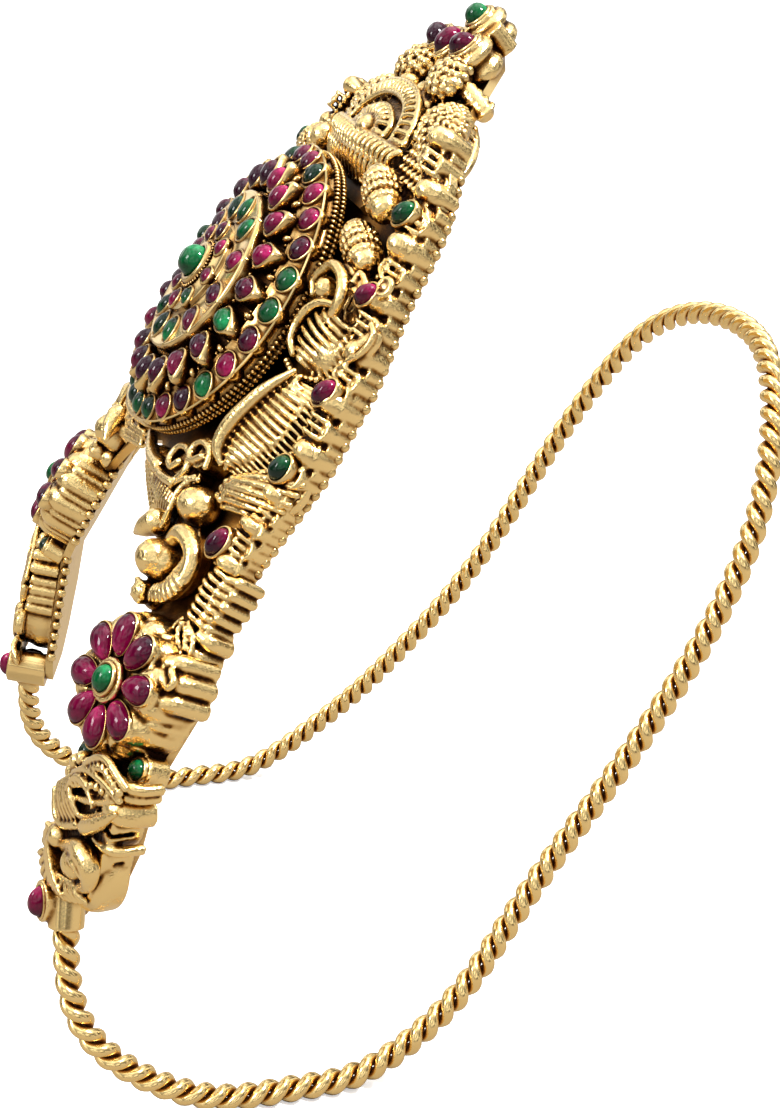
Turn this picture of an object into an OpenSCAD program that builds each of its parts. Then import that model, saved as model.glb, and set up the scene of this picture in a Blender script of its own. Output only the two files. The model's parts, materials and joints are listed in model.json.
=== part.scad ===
// Upper-arm ornament: a cast, stone-set front of two legs and a crest, sprung on a twisted rope.
// Units are millimetres. The ornament stands on the two bows of its rope: X runs across it,
// -Y is the side of its decorated face, Z is up, and the floor is at Z = 0. The origin lies on
// the floor under the middle of the whole.

/* [Rope] */
// Outer diameter of the two-strand rope
rope_d = 2.6; // [2.4:0.05:2.7]
// Length of one full turn of a strand
rope_pitch = 4.7; // [4.4:0.1:5.2]
// Gap between the two strands
strand_gap = 0.14; // [0.12:0.01:0.2]

/* [Front] */
// Lean of the front away from upright, in degrees
front_lean = 37; // [36.5:0.5:37.5]
// Radius of the front's curve round the arm
curve_r = 88; // [86:1:90]
// Thickness of the back sheet
sheet_t = 1; // [0.8:0.1:1.2]
// Depth of the castings' seat below the rim of the rosette
seat_drop = 4; // [4:0.1:4.2]
// Clear space between a casting and its seat
seat_gap = 0.06; // [0.05:0.01:0.1]

/* [Rosette] */
// Radius of the round rosette
rosette_r = 17.5; // [17.3:0.1:17.7]
// Stones in its outer ring
outer_stones = 28; // [24:2:30]
// Raised stones in its second ring
tier_stones = 20; // [18:2:22]
// Stones round its raised middle
middle_stones = 12; // [10:2:14]
// Stones round its centre stone
inner_stones = 8; // [6:2:8]

/* [Leg flower] */
// Petals of the flower on each leg
flower_petals = 8; // [8:1:8]
// Radius from the flower's centre to the middle of a petal
petal_r = 4.7; // [4.5:0.1:4.9]

/* [Hidden] */

$fn = 32;
GOLD = "goldenrod";
RUBY = "crimson";
EMERALD = "seagreen";

front_y = -17.5;
front_z = 82;
seat = -seat_drop + seat_gap;
sheet_back = -seat_drop - sheet_t;

// The rope's route: control points of a smooth curve, from the right leg to the middle behind
ROUTE_HALF = [
    [24.5, -39, 34.5], [28, -41, 25], [31, -42, 15], [33, -38.5, 8], [34, -27.5, 0.7],
    [34, -18.5, 1.8], [34, -11, 0.6], [33.5, -0.5, 8.2], [31, 5, 14], [29, 11, 21.5],
    [28, 17, 28.5], [27.5, 23, 37], [27.5, 27.5, 44.5], [26.5, 32.5, 53.5], [23.5, 36.5, 61.5],
    [18, 39.5, 69], [9.5, 42.5, 73.5], [0, 44, 74]
];
ROUTE = concat(ROUTE_HALF, [for (i = [len(ROUTE_HALF) - 2:-1:0])
    [-ROUTE_HALF[i].x, ROUTE_HALF[i].y, ROUTE_HALF[i].z]]);
route_steps = 12;
rings_a_turn = 6;
strand_sides = 5;

// Where the frames of the bent parts of the front lie, and how far they lean, on the front's plane
CREST_AT = [0, 17, -2];
crest_back = 14;
LEG_AT = [29.2, -35.4, -4.6];
leg_turn = 18.5;
leg_pitch = 5;
FOOT_AT = [28, -46, -6.1];
foot_pitch = 25;

// Vectors and curves

function unit(v) = v / norm(v);

function spline_point(c, i, t) = (
    pow(1 - t, 3) * c[i] + (3 * pow(t, 3) - 6 * t * t + 4) * c[i + 1]
    + (-3 * pow(t, 3) + 3 * t * t + 3 * t + 1) * c[i + 2] + pow(t, 3) * c[i + 3]) / 6;

function spline(c, steps) = [
    for (i = [0:len(c) - 4], k = [0:steps - 1]) spline_point(c, i, k / steps),
    spline_point(c, len(c) - 4, 1)];

function running_length(p) = [
    for (i = 0, d = 0; i < len(p); i = i + 1, d = d + (i < len(p) ? norm(p[i] - p[i - 1]) : 0)) d];

// Points at even spacing along a curve
function even_points(p, count) =
    let (d = running_length(p), total = d[len(d) - 1],
        tx = [for (i = [0:len(p) - 1]) [d[i], p[i].x]],
        ty = [for (i = [0:len(p) - 1]) [d[i], p[i].y]],
        tz = [for (i = [0:len(p) - 1]) [d[i], p[i].z]])
    [for (k = [0:count - 1]) let (s = total * k / (count - 1))
        [lookup(s, tx), lookup(s, ty), lookup(s, tz)]];

function tangents(p) = [for (i = [0:len(p) - 1])
    unit(p[min(i + 1, len(p) - 1)] - p[max(i - 1, 0)])];

// One direction square to the curve at each point, carried along without twist
function carried_normals(t) = [
    for (i = 0, n = unit(cross(t[0], [0, 1, 0])); i < len(t);
        i = i + 1, n = i < len(t) ? unit(n - (n * t[i]) * t[i]) : n) n];

route_points = spline(ROUTE, route_steps);
route_length = running_length(route_points)[len(route_points) - 1];

// Sweeps a ring of points along a centre line, each ring square to the line
module tube(line, away, r, sides) {
    t = tangents(line);
    points = [for (i = [0:len(line) - 1], k = [0:sides - 1])
        let (a = unit(away[i] - (away[i] * t[i]) * t[i]), b = cross(t[i], a), w = 360 * k / sides)
        line[i] + r * (cos(w) * a + sin(w) * b)];
    last = (len(line) - 1) * sides;
    polyhedron(points, concat(
        [[for (k = [0:sides - 1]) k]],
        [for (i = [0:len(line) - 2], k = [0:sides - 1]) let (j = i * sides, m = (k + 1) % sides)
            [j + k, j + sides + k, j + sides + m, j + m]],
        [[for (k = [sides - 1:-1:0]) last + k]]));
}

// Frames

module on_front()
    translate([0, front_y, front_z]) rotate([90 - front_lean, 0, 0]) children();

// On the curved front: s along the curve, u up the front, h out of it
module on_curve(s, u, h = 0, turn = 0)
    on_front() translate([0, 0, -curve_r]) rotate([0, s / curve_r * 180 / PI, 0])
        translate([0, u, curve_r + h]) rotate([0, 0, turn]) children();

module on_crest() on_front() translate(CREST_AT) rotate([-crest_back, 0, 0]) children();
module on_leg() on_front() translate(LEG_AT) rotate([leg_pitch, leg_turn, 0]) children();
module on_foot() on_front() translate(FOOT_AT) rotate([foot_pitch, leg_turn, 0]) children();
module on_left() mirror([1, 0, 0]) children();

module ring_of(count, r, first = 90)
    for (i = [0:count - 1]) rotate([0, 0, first - 360 * i / count - 90])
        translate([0, r, 0]) children();

// Stones and their settings

// Outline of an oval, drawn in towards a point at its +Y end by tip
function oval(l, w, tip = 0, sides = 10) = [for (i = [0:sides - 1])
    let (a = 360 * i / sides) [w / 2 * sin(-a) * (1 - tip * (1 + cos(a)) / 2), l / 2 * cos(a)]];

// Levels of a stone's rings of corners: share of its outline, share of its height
STONE_LEVELS = [[1, 0], [0.86, 0.62], [0.5, 1]];
stone_sides = 8;

// A cut stone with a flat base and a flat table, l long in Y
module stone(l, w, h, tip = 0, sides = stone_sides) {
    outline = oval(l, w, tip, sides);
    top = len(STONE_LEVELS) - 1;
    points = [for (v = STONE_LEVELS, p = outline) [v[0] * p.x, v[0] * p.y, v[1] * h]];
    polyhedron(points, concat(
        [[for (i = [0:sides - 1]) i]],
        [for (k = [0:top - 1], i = [0:sides - 1]) let (j = (i + 1) % sides, a = k * sides)
            [a + i, a + sides + i, a + sides + j, a + j]],
        [[for (i = [sides - 1:-1:0]) top * sides + i]]));
}

// Room for a stone, a little wider than the stone all round
module pocket(l, w, depth, tip = 0, clear = 0.12)
    linear_extrude(depth) polygon(oval(l + 2 * clear, w + 2 * clear, tip, stone_sides));

// A straight-walled cup that a stone sits in, its top at z = h
module cup(l, w, h, wall = 0.45, depth = 0.5) difference() {
    linear_extrude(h) polygon(oval(l + 2 * wall + 0.24, w + 2 * wall + 0.24, 0, 16));
    translate([0, 0, h - depth]) pocket(l, w, depth + 1);
}

// Castings' shapes

// A turned body with ribs round it, its axis along Z from z = 0
module ribbed_barrel(l, r, ribs, swell = 0.75) rotate_extrude() polygon(concat([[0, 0]],
    [for (i = [0:2 * ribs]) let (t = i / (2 * ribs))
        [r * (swell + (1 - swell) * sin(180 * t)) * (i % 2 == 0 ? 0.88 : 1), l * t]],
    [[0, l]]));

// A leaf with raised ribs across it, l long in Y, its flat back on z = 0
module ribbed_leaf(l, w, h, ribs, bend = 0) {
    across = 6;
    stations = 2 * ribs;
    points = [for (i = [0:stations], k = [0:across])
        let (t = i / stations, a = 180 * k / across, full = max(0.3, sin(15 + 150 * t)))
        [bend * sin(180 * t) - w / 2 * full * cos(a), l * t,
            k == 0 || k == across ? 0 : h * full * sin(a) * (i % 2 == 0 ? 0.86 : 1)]];
    n = across + 1;
    polyhedron(points, concat(
        [[for (k = [0:across]) k]],
        [for (i = [0:stations - 1], k = [0:across]) let (j = i * n, m = (k + 1) % n)
            [j + m, j + k, j + n + k, j + n + m]],
        [[for (k = [across:-1:0]) stations * n + k]]));
}

// A bent round bar, part of a ring of radius r lying in the XY plane
module curl(r, bar, angle) rotate_extrude(angle = angle) translate([r, 0]) circle(bar);

// A ball that stands on z = 0 with its foot cut flat
module ball(r, stand = 0.8) intersection() {
    translate([0, 0, r * stand]) sphere(r);
    cylinder(r = 2 * r, h = 3 * r);
}

// A crescent wall on z = 0: its ends lie on the Y axis, its back bulges towards -X
module crescent(chord, outer, inner, h) {
    outer_r = (chord * chord / 4 + outer * outer) / (2 * outer);
    inner_r = (chord * chord / 4 + inner * inner) / (2 * inner);
    difference() {
        translate([outer_r - outer, 0, 0]) cylinder(r = outer_r, h = h);
        translate([inner_r - inner, 0, -1]) cylinder(r = inner_r, h = h + 2);
    }
}

// A spiral scroll: a ring round a boss
module scroll(r, bar, h) {
    cylinder(r = r * 0.45, h = h * 0.95);
    difference() {
        cylinder(r = r, h = h);
        translate([0, 0, h * 0.5]) cylinder(r = r - bar, h = h);
    }
}

// Back sheet

// Half outline of the curved sheet, on the curve's s and u
SHEET_HALF = [
    [0, 17.5], [12, 19], [22, 18], [25, 11], [28, 3], [30, -7], [30.5, -18],
    [31.5, -25], [30, -29.5], [22, -30], [19.5, -28], [12, -22.5], [0, -18.5]
];
// How far out the back edge lies at a height u
function edge_s(u) = lookup(u, [[-28, 33.6], [-24, 33.6], [-18.5, 32.2], [-7, 32.2], [2.6, 30.3],
    [10, 27.1], [14, 26], [18.7, 24.5], [25, 19.8]]);

module curved_sheet() intersection() {
    on_front() translate([0, 0, -curve_r]) rotate([90, 0, 0]) difference() {
        cylinder(r = curve_r - seat_drop, h = 90, center = true, $fn = 180);
        cylinder(r = curve_r - seat_drop - sheet_t, h = 92, center = true, $fn = 180);
    }
    on_front() translate([0, 0, -20]) linear_extrude(30) sheet_outline();
}

// The curved sheet's outline, seen square to the front
module sheet_outline() {
    half = [for (p = SHEET_HALF) [curve_r * sin(p.x / curve_r * 180 / PI), p.y]];
    polygon(concat(half, [for (i = [len(half) - 2:-1:1]) [-half[i].x, half[i].y]]));
}

module crest_sheet() on_crest() translate([0, 0, -3]) linear_extrude(sheet_t)
    polygon([[-10.5, -1.5], [10.5, -1.5], [11, 4], [15.5, 5], [15.5, 9], [10, 14], [5, 19.5],
        [0, 21.5], [-5, 19.5], [-10, 14], [-15.5, 9], [-15.5, 5], [-11, 4]]);

module leg_sheet() on_leg() translate([0, 0, -6.5]) linear_extrude(sheet_t)
    polygon([[-6, 6.5], [4, 9], [6.8, 4], [7, -4], [6, -9], [-2, -9], [-6, -5]]);

module foot_sheet() on_foot() translate([0, 0, -6]) linear_extrude(sheet_t)
    polygon([[-1.5, 2], [7.5, 4], [9.2, 1], [9, -5], [7.5, -11], [5.6, -14.6], [1, -17],
        [-1.4, -14], [-1.6, -6]]);

module half_sheet() {
    leg_sheet();
    foot_sheet();
}

module back_sheet() color(GOLD) difference() {
    union() {
        curved_sheet();
        crest_sheet();
        half_sheet();
        on_left() half_sheet();
    }
    flower_room();
    on_left() flower_room();
    rope_room();
    on_left() rope_room();
}

// Room that the flower and the rope's end take out of the sheet
module flower_room() on_leg() {
    translate([0, 0, -5.5]) cylinder(r = flower_base_r + 0.1, h = 8);
    for (p = LEG_EMERALDS) translate([p.x, p.y, -5.5]) cylinder(r = leg_cup_r + 0.1, h = 8);
}
module rope_room() rope_start() translate([0, 0, -1.5]) cylinder(r = socket_out + 0.1, h = 8);

// Rosette

ring_z = 0.5;
tier_z = 1.1;
middle_z = 2.9;
hub_z = 3.5;
// The rings of stones: radius to their middles, then a stone's length, width and height
OUTER = [15.55, 3.1, 2.3, 1.2];
TIER = [11.7, 3, 2.2, 1.3];
MIDDLE = [7.6, 2.8, 1.8, 1];
INNER = [4.3, 1.8, 1.3, 0.8];
centre_d = 3.6;
tier_cup_h = 1.7;
stone_sink = 0.5;
stone_lift = 0.06;

// Which stones are green, counted clockwise from the top on the right half, then mirrored
function by_half(i, count) = i <= count / 2 ? i : count - i;
function outer_green(i) = len(search(by_half(i, outer_stones), [1, 5, 6, 9, 12, 13])) > 0;
function tier_green(i) = by_half(i, tier_stones) == 5;
function middle_green(i) = len(search(by_half(i, middle_stones), [0, 1, 5, 6])) > 0;
function inner_green(i) = i == 3 || i == 6;

module dish_body() rotate_extrude($fn = 96) polygon([
    [0, -3.8], [14.6, -3.8], [15, -2.6], [16.6, -2.5], [17.1, -2.2], [17.1, -1.7],
    [16.7, -1.6], [17.2, -1.45], [17.2, -0.9], [16.7, -0.8], [16.7, -0.1],
    [rosette_r - 0.1, 0], [rosette_r - 0.1, ring_z],
    [13.7, ring_z], [13.5, tier_z], [9.7, tier_z], [9.5, middle_z - 0.4], [9.2, middle_z],
    [5.7, middle_z], [5.5, hub_z], [2.6, hub_z + 0.1], [2.5, hub_z + 0.7], [0, hub_z + 0.7]]);

module rosette_dish() color(GOLD) on_front() difference() {
    union() {
        dish_body();
        ring_of(tier_stones, TIER[0], 81) translate([0, 0, tier_z - 0.3])
            linear_extrude(tier_cup_h + 0.3) polygon(oval(TIER[1] + 1.1, TIER[2] + 1.1, 0, 12));
    }
    translate([0, 0, ring_z - stone_sink]) ring_of(outer_stones, OUTER[0])
        pocket(OUTER[1], OUTER[2], 2);
    translate([0, 0, tier_z + tier_cup_h - stone_sink]) ring_of(tier_stones, TIER[0], 81)
        pocket(TIER[1], TIER[2], 2);
    translate([0, 0, middle_z - stone_sink]) ring_of(middle_stones, MIDDLE[0], 84)
        pocket(MIDDLE[1], MIDDLE[2], 2);
    translate([0, 0, hub_z - 0.3]) ring_of(inner_stones, INNER[0])
        pocket(INNER[1], INNER[2], 2);
    translate([0, 0, hub_z + 0.3]) cylinder(r = centre_d / 2 + 0.1, h = 2);
}

// The stones of the four rings that are green, or those that are not
module rosette_stones(green) on_front() {
    for (i = [0:outer_stones - 1]) if (outer_green(i) == green)
        rotate([0, 0, -360 * i / outer_stones])
            translate([0, OUTER[0], ring_z - stone_sink + stone_lift]) stone(OUTER[1], OUTER[2], OUTER[3]);
    for (i = [0:tier_stones - 1]) if (tier_green(i) == green)
        rotate([0, 0, -9 - 360 * i / tier_stones])
            translate([0, TIER[0], tier_z + tier_cup_h - stone_sink + stone_lift])
                stone(TIER[1], TIER[2], TIER[3]);
    for (i = [0:middle_stones - 1]) if (middle_green(i) == green)
        rotate([0, 0, -6 - 360 * i / middle_stones])
            translate([0, MIDDLE[0], middle_z - stone_sink + stone_lift])
                stone(MIDDLE[1], MIDDLE[2], MIDDLE[3]);
    for (i = [0:inner_stones - 1]) if (inner_green(i) == green)
        rotate([0, 0, -360 * i / inner_stones])
            translate([0, INNER[0], hub_z - 0.3 + stone_lift]) stone(INNER[1], INNER[2], INNER[3]);
}

module rosette_rubies() color(RUBY) rosette_stones(false);
module rosette_emeralds() color(EMERALD) rosette_stones(true);

module rosette_centre() color(EMERALD) on_front()
    translate([0, 0, hub_z + 0.3 + stone_lift]) stone(centre_d, centre_d, 1.9, 0, 16);

// Crest

crest_seat = -2 + seat_gap;
// The finial's stones: x, y, length, width, turn
FINIAL_RUBIES = [[-4.6, 17.6, 3.2, 2.3, 50], [0, 17.4, 3.4, 2.4, 0], [4.6, 17.6, 3.2, 2.3, -50]];
FINIAL_EMERALD = [0, 21.4, 2.6, 2.6, 0];
finial_h = 4;

module crest_finial() color(GOLD) on_crest() translate([0, 0, crest_seat]) difference() {
    union() {
        translate([0, 18.4, 0]) cylinder(r = 4.2, h = 2.6);
        for (p = FINIAL_RUBIES) translate([p[0], p[1], 0]) rotate([0, 0, p[4]])
            linear_extrude(finial_h) polygon(oval(p[2] + 1.3, p[3] + 1.3, 0, 16));
        translate([FINIAL_EMERALD[0], FINIAL_EMERALD[1], 0]) cylinder(r = 1.9, h = finial_h);
        for (k = [-1, 1]) translate([3.2 * k, 21.2, 0]) cylinder(r = 1.2, h = 3);
    }
    for (p = FINIAL_RUBIES) translate([p[0], p[1], finial_h - stone_sink]) rotate([0, 0, p[4]])
        pocket(p[2], p[3], 2);
    translate([FINIAL_EMERALD[0], FINIAL_EMERALD[1], finial_h - stone_sink])
        pocket(FINIAL_EMERALD[2], FINIAL_EMERALD[3], 2);
}

module finial_stone(p) on_crest()
    translate([p[0], p[1], crest_seat + finial_h - stone_sink + stone_lift])
        rotate([0, 0, p[4]]) stone(p[2], p[3], 1.6);

module finial_rubies() color(RUBY) for (p = FINIAL_RUBIES) finial_stone(p);
module finial_emerald() color(EMERALD) finial_stone(FINIAL_EMERALD);

module crest_hood() color(GOLD) on_crest() translate([0, 0, crest_seat]) {
    for (k = [-1, 1]) translate([1.6 * k, 1.2, 0]) rotate([0, 0, -18 * k])
        ribbed_leaf(9.5, 4.6, 3.6, 6, -1.2 * k);
    translate([0, 3, 0]) ball(2, 0.4);
}

module crest_bird() on_crest() translate([0, 0, crest_seat]) {
    translate([9.2, 4.4, 0]) rotate([0, 0, 8]) ribbed_leaf(8.4, 5.4, 3.8, 5);
    translate([5.6, 12.4, 0]) ball(2.3);
    translate([8, 11.6, 0]) ball(1.9);
    translate([13.2, 4.6, 0]) rotate([0, 0, 12]) ribbed_leaf(8.2, 3.4, 3, 6, 0.6);
    translate([6.6, 12.6, 0]) rotate([0, 0, -60]) crescent(5.6, 2.6, 1.8, 3.9);
}

// Right-hand castings on the curved front

// Scaled drums: s, u, turn
DRUMS = [[15.4, 17.6, 66], [18.4, 12.2, 72]];
drum_r = 2.4;
drum_l = 6;
module drums() for (d = DRUMS) on_curve(d[0], d[1], seat + drum_r, d[2])
    translate([0, -drum_l / 2, 0]) rotate([-90, 0, 0]) ribbed_barrel(drum_l, drum_r, 6);

module peacock() {
    on_curve(19.2, 6.9, seat) ball(1.7);
    on_curve(20.3, 7.2, seat, 14) crescent(4.6, 2.2, 1.6, 3.6);
    on_curve(21.7, 7.2, seat, -30) ribbed_leaf(2.8, 2.2, 3, 2);
    on_curve(21.8, 6.8, seat) cylinder(r = 1.6, h = 2);
    on_curve(22.6, 1, seat, -6) ribbed_leaf(6, 5.8, 4, 4);
    on_curve(20.4, 3, seat, 10) crescent(6, 1.6, 1.1, 3.4);
}

module wing() {
    on_curve(22.9, -12.9, seat, -6) ribbed_leaf(11.4, 6, 4, 9);
    on_curve(22.4, -7.2, seat) cylinder(r = 2.9, h = 1.4);
    on_curve(21, -6.5, seat, 8) crescent(12.4, 2, 1, 3.9);
    on_curve(26.2, -10.6, seat, -10) ribbed_leaf(7.6, 2.6, 2.6, 7);
}

feather_r = 2.1;
module feather() on_curve(22.2, -15.9, seat + feather_r, -64) rotate([-90, 0, 0])
    ribbed_barrel(8.2, feather_r, 6, 0.8);

// Upright ribs of the gallery along the outer edge: u, radius, height
GALLERY = [
    [25.2, 1.4, 3], [22.8, 1.2, 3.4], [20.4, 1.4, 2.8], [17.4, 1.3, 3], [14.8, 1.5, 3.4],
    [12.2, 1.3, 2.9], [9.4, 1.4, 3], [6.8, 1.3, 3.4], [4.4, 1.5, 2.9], [1.8, 1.3, 3],
    [-0.8, 1.5, 3], [-3.4, 1.3, 3.4], [-6, 1.5, 2.9], [-8.6, 1.5, 3], [-11, 1.1, 3.2],
    [-13, 0.9, 2.6], [-14.8, 0.9, 3.2], [-17, 1.4, 2.9], [-19.2, 1.2, 2.9]
];
// Edge stones: s, u, turn, length, width
EDGE_RUBIES = [[25.4, 9.2, -28, 2.7, 1.9], [29, -0.4, -22, 3.1, 2.1], [29.2, -18.2, -10, 3.3, 2.2]];
EDGE_EMERALDS = [[22.6, 17.4, -30, 2.9, 2.1], [30.3, -8.6, -12, 2.8, 2.3]];
EDGE_STONES = concat(EDGE_RUBIES, EDGE_EMERALDS);
edge_cup_h = 3.2;
edge_cup_wall = 0.4;
// Low rounds between the ribs
rail_r = 0.9;
rail_h = 2.2;

module gallery() difference() {
    union() {
        for (g = GALLERY) on_curve(edge_s(g[0]) - g[1], g[0], seat) cylinder(r = g[1], h = g[2]);
        for (i = [0:len(GALLERY) - 2]) let (u = (GALLERY[i][0] + GALLERY[i + 1][0]) / 2)
            on_curve(edge_s(u) - rail_r, u, seat) cylinder(r = rail_r, h = rail_h);
        for (p = EDGE_STONES) on_curve(p[0], p[1], seat, p[2]) linear_extrude(edge_cup_h)
            polygon(oval(p[3] + 2 * edge_cup_wall + 0.24, p[4] + 2 * edge_cup_wall + 0.24, 0, 16));
    }
    for (p = EDGE_STONES) on_curve(p[0], p[1], seat + edge_cup_h - stone_sink, p[2])
        pocket(p[3], p[4], 2);
}

module edge_stones(list) for (p = list)
    on_curve(p[0], p[1], seat + edge_cup_h - stone_sink + stone_lift, p[2])
        stone(p[3], p[4], 1.4);

// Scrollwork below the rosette
module scrolls() {
    on_curve(17.6, -13.8, seat) scroll(1.7, 0.5, 3.6);
    on_curve(14.6, -16, seat) scroll(1.8, 0.5, 3.4);
    on_curve(10.6, -18.6, seat + 1.5, 92) rotate([-90, 0, 0]) ribbed_barrel(5, 1.5, 5);
    on_curve(10.8, -19.8, seat) cylinder(r = 1.4, h = 2.6);
    on_curve(13.4, -19.4, seat) cylinder(r = 2, h = 2.8);
    on_curve(16.6, -16.2, seat) cylinder(r = 1.4, h = 2.4);
}

// The curled trunk, its bowl, cone and balls
module trunk() {
    on_curve(19.6, -18.6, seat) ball(2.2, 0.5);
    on_curve(17.6, -21.4, seat) cylinder(r = 2, h = 1.8);
    on_curve(16.6, -23.2, seat) cylinder(r1 = 1.6, r2 = 0.5, h = 3.4);
    on_curve(20.8, -24.8, seat) ball(2.4, 0.8);
    on_curve(21.6, -21.6, seat) cylinder(r = 2, h = 1.8);
    on_curve(24.4, -23.4, seat, 176) crescent(7.6, 2.4, 0.8, 3.6);
    on_curve(24.2, -23.4, seat) cylinder(r = 2, h = 1.6);
    on_curve(21.9, -28.2, seat) ball(1.5, 0.6);
}

// Ridges beside the flower
module ridges() {
    for (i = [0:2]) on_curve(30.2, -21.9 - 1.9 * i, seat) cylinder(r = 1.3, h = 3.4 - 0.2 * i);
}

// Leg flower

flower_h = 5.4;
flower_base_r = 7.3;
flower_seat = -5.5 + seat_gap;
// Lobes of the flower's side wall
lobes = 14;
lobe_r = 1.2;
lobe_at = flower_base_r - lobe_r - 0.15;
lobe_h = 4.4;
// A petal stone: length, width, height
PETAL = [3.7, 2.9, 1.4];
petal_turn = 114;
// Round stones beside the flower's lower edge: x, y
LEG_EMERALDS = [[7.3, -4.9], [-0.8, -8.8]];
leg_emerald_d = 2.1;
leg_cup_r = 1.7;
leg_cup_h = 2.6;

module flower() on_leg() difference() {
    union() {
        translate([0, 0, flower_seat]) cylinder(r = flower_base_r, h = 2);
        translate([0, 0, flower_seat]) cylinder(r = 5.2, h = flower_h);
        translate([0, 0, flower_seat]) cylinder(r = lobe_at + 0.3, h = lobe_h - 0.4);
        ring_of(lobes, lobe_at) translate([0, 0, flower_seat]) cylinder(r = lobe_r, h = lobe_h);
        translate([0, 0, -0.5]) cylinder(r = 2.3, h = 1.4);
        ring_of(flower_petals, petal_r, petal_turn) translate([0, 0, flower_seat])
            linear_extrude(flower_h) polygon(oval(PETAL[0] + 1, PETAL[1] + 0.9, 0, 16));
        for (p = LEG_EMERALDS) translate([p.x, p.y, flower_seat])
            cylinder(r = leg_cup_r, h = leg_cup_h);
    }
    translate([0, 0, -0.56]) ring_of(flower_petals, petal_r, petal_turn)
        pocket(PETAL[0], PETAL[1], 3);
    translate([0, 0, 0.4]) cylinder(r = 1.6, h = 2);
    for (p = LEG_EMERALDS) translate([p.x, p.y, flower_seat + leg_cup_h - stone_sink])
        pocket(leg_emerald_d, leg_emerald_d, 3);
}

module petals() on_leg() translate([0, 0, -0.5]) ring_of(flower_petals, petal_r, petal_turn)
    stone(PETAL[0], PETAL[1], PETAL[2]);
module flower_centre() on_leg() translate([0, 0, 0.46]) stone(2.9, 2.9, 1.3, 0, 12);
module leg_emeralds() on_leg() for (p = LEG_EMERALDS)
    translate([p.x, p.y, flower_seat + leg_cup_h - stone_sink + stone_lift])
        stone(leg_emerald_d, leg_emerald_d, 1.2);

// Foot

foot_seat = -5 + seat_gap;
wall_h = 3.6;
head_seat = foot_seat + wall_h + seat_gap;
// Rounds that the smooth wall is made of: x, y, radius
WALL_ROUNDS = [[2.2, -1.8, 3.2], [6.6, -1, 3.7], [4.6, -5, 5.1], [4.2, -8.6, 4.7]];

// A slot and a seam in the wall's outer side: x, y, z, height along y, height
WALL_SLOTS = [[7.4, -6.4, 1, 1.2, 1.3], [8.4, -1.6, 1, 0.6, 4]];

module foot_wall() difference() {
    on_foot() translate([0, 0, foot_seat]) difference() {
        for (p = WALL_ROUNDS) translate([p.x, p.y, 0]) cylinder(r = p[2], h = wall_h);
        for (p = WALL_SLOTS) translate([p[0], p[1], p[2]]) cube([4, p[3], p[4]]);
    }
    flower_room();
}

module foot_head() on_foot() translate([0, 0, head_seat]) {
    translate([4.4, -1.6, 0]) cylinder(r = 3, h = 0.8);
    translate([4.6, -0.6, 0]) rotate([0, 0, -70]) crescent(6.6, 2.6, 1.8, 2);
    translate([4, -4.2, 0]) rotate([0, 0, -50]) ribbed_leaf(4.6, 2.8, 1.8, 3);
    translate([2.8, -6, 0]) cylinder(r = 2.2, h = 0.8);
    translate([0.9, -8, 0]) ball(1.3);
    translate([5.6, -7.6, 0]) ball(1.8, 0.5);
    translate([3, -9.8, 0]) rotate([0, 0, 60]) crescent(6.6, 2.6, 1, 2.2);
}

// End cup with its stone, and the socket that the rope comes out of
END_AT = [1.9, -16.2];
END_STONE = [3.4, 2.4];
end_turn = 14;
end_h = 5;
socket_in = 1.45;
socket_out = 1.9;

module rope_start() {
    start = route_points[0];
    away = unit(route_points[1] - start);
    translate(start) rotate([0, acos(away.z), atan2(away.y, away.x)]) children();
}

module at_end(h) on_foot() translate([END_AT.x, END_AT.y, foot_seat + h])
    rotate([0, 0, end_turn]) children();

module end_cup() difference() {
    union() {
        at_end(0) linear_extrude(end_h)
            polygon(oval(END_STONE[0] + 1.2, END_STONE[1] + 1.2, 0, 16));
        rope_start() translate([0, 0, -1.4]) cylinder(r = socket_out, h = 3.8);
    }
    rope_start() translate([0, 0, -0.6]) cylinder(r = socket_in, h = 12);
    at_end(end_h - stone_sink) pocket(END_STONE[0], END_STONE[1], 2, 0.3);
}
module end_ruby() at_end(end_h - stone_sink + stone_lift)
    stone(END_STONE[0], END_STONE[1], 1.7, 0.3);

// Rope

module strand(phase) {
    count = round(route_length / rope_pitch * rings_a_turn);
    line = even_points(route_points, count);
    t = tangents(line);
    n = carried_normals(t);
    offset_r = rope_d / 4 + strand_gap / 4;
    strand_r = rope_d / 4 - strand_gap / 4;
    away = [for (i = [0:count - 1])
        let (w = phase - 360 * route_length / rope_pitch * i / (count - 1))
        cos(w) * n[i] + sin(w) * cross(t[i], n[i])];
    tube([for (i = [0:count - 1]) line[i] + offset_r * away[i]], away, strand_r, strand_sides);
}

module strand_a() color(GOLD) strand(0);
module strand_b() color(GOLD) strand(180);

back_sheet();
rosette_dish();
rosette_rubies();
rosette_emeralds();
rosette_centre();
crest_finial();
finial_rubies();
finial_emerald();
crest_hood();
color(GOLD) crest_bird();  // right_crest_bird
color(GOLD) on_left() crest_bird();  // left_crest_bird
color(GOLD) drums();  // right_drums
color(GOLD) on_left() drums();  // left_drums
color(GOLD) peacock();  // right_peacock
color(GOLD) on_left() peacock();  // left_peacock
color(GOLD) wing();  // right_wing
color(GOLD) on_left() wing();  // left_wing
color(GOLD) feather();  // right_feather
color(GOLD) on_left() feather();  // left_feather
color(GOLD) gallery();  // right_gallery
color(GOLD) on_left() gallery();  // left_gallery
color(RUBY) edge_stones(EDGE_RUBIES);  // right_edge_rubies
color(RUBY) on_left() edge_stones(EDGE_RUBIES);  // left_edge_rubies
color(EMERALD) edge_stones(EDGE_EMERALDS);  // right_edge_emeralds
color(EMERALD) on_left() edge_stones(EDGE_EMERALDS);  // left_edge_emeralds
color(GOLD) scrolls();  // right_scrolls
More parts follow.
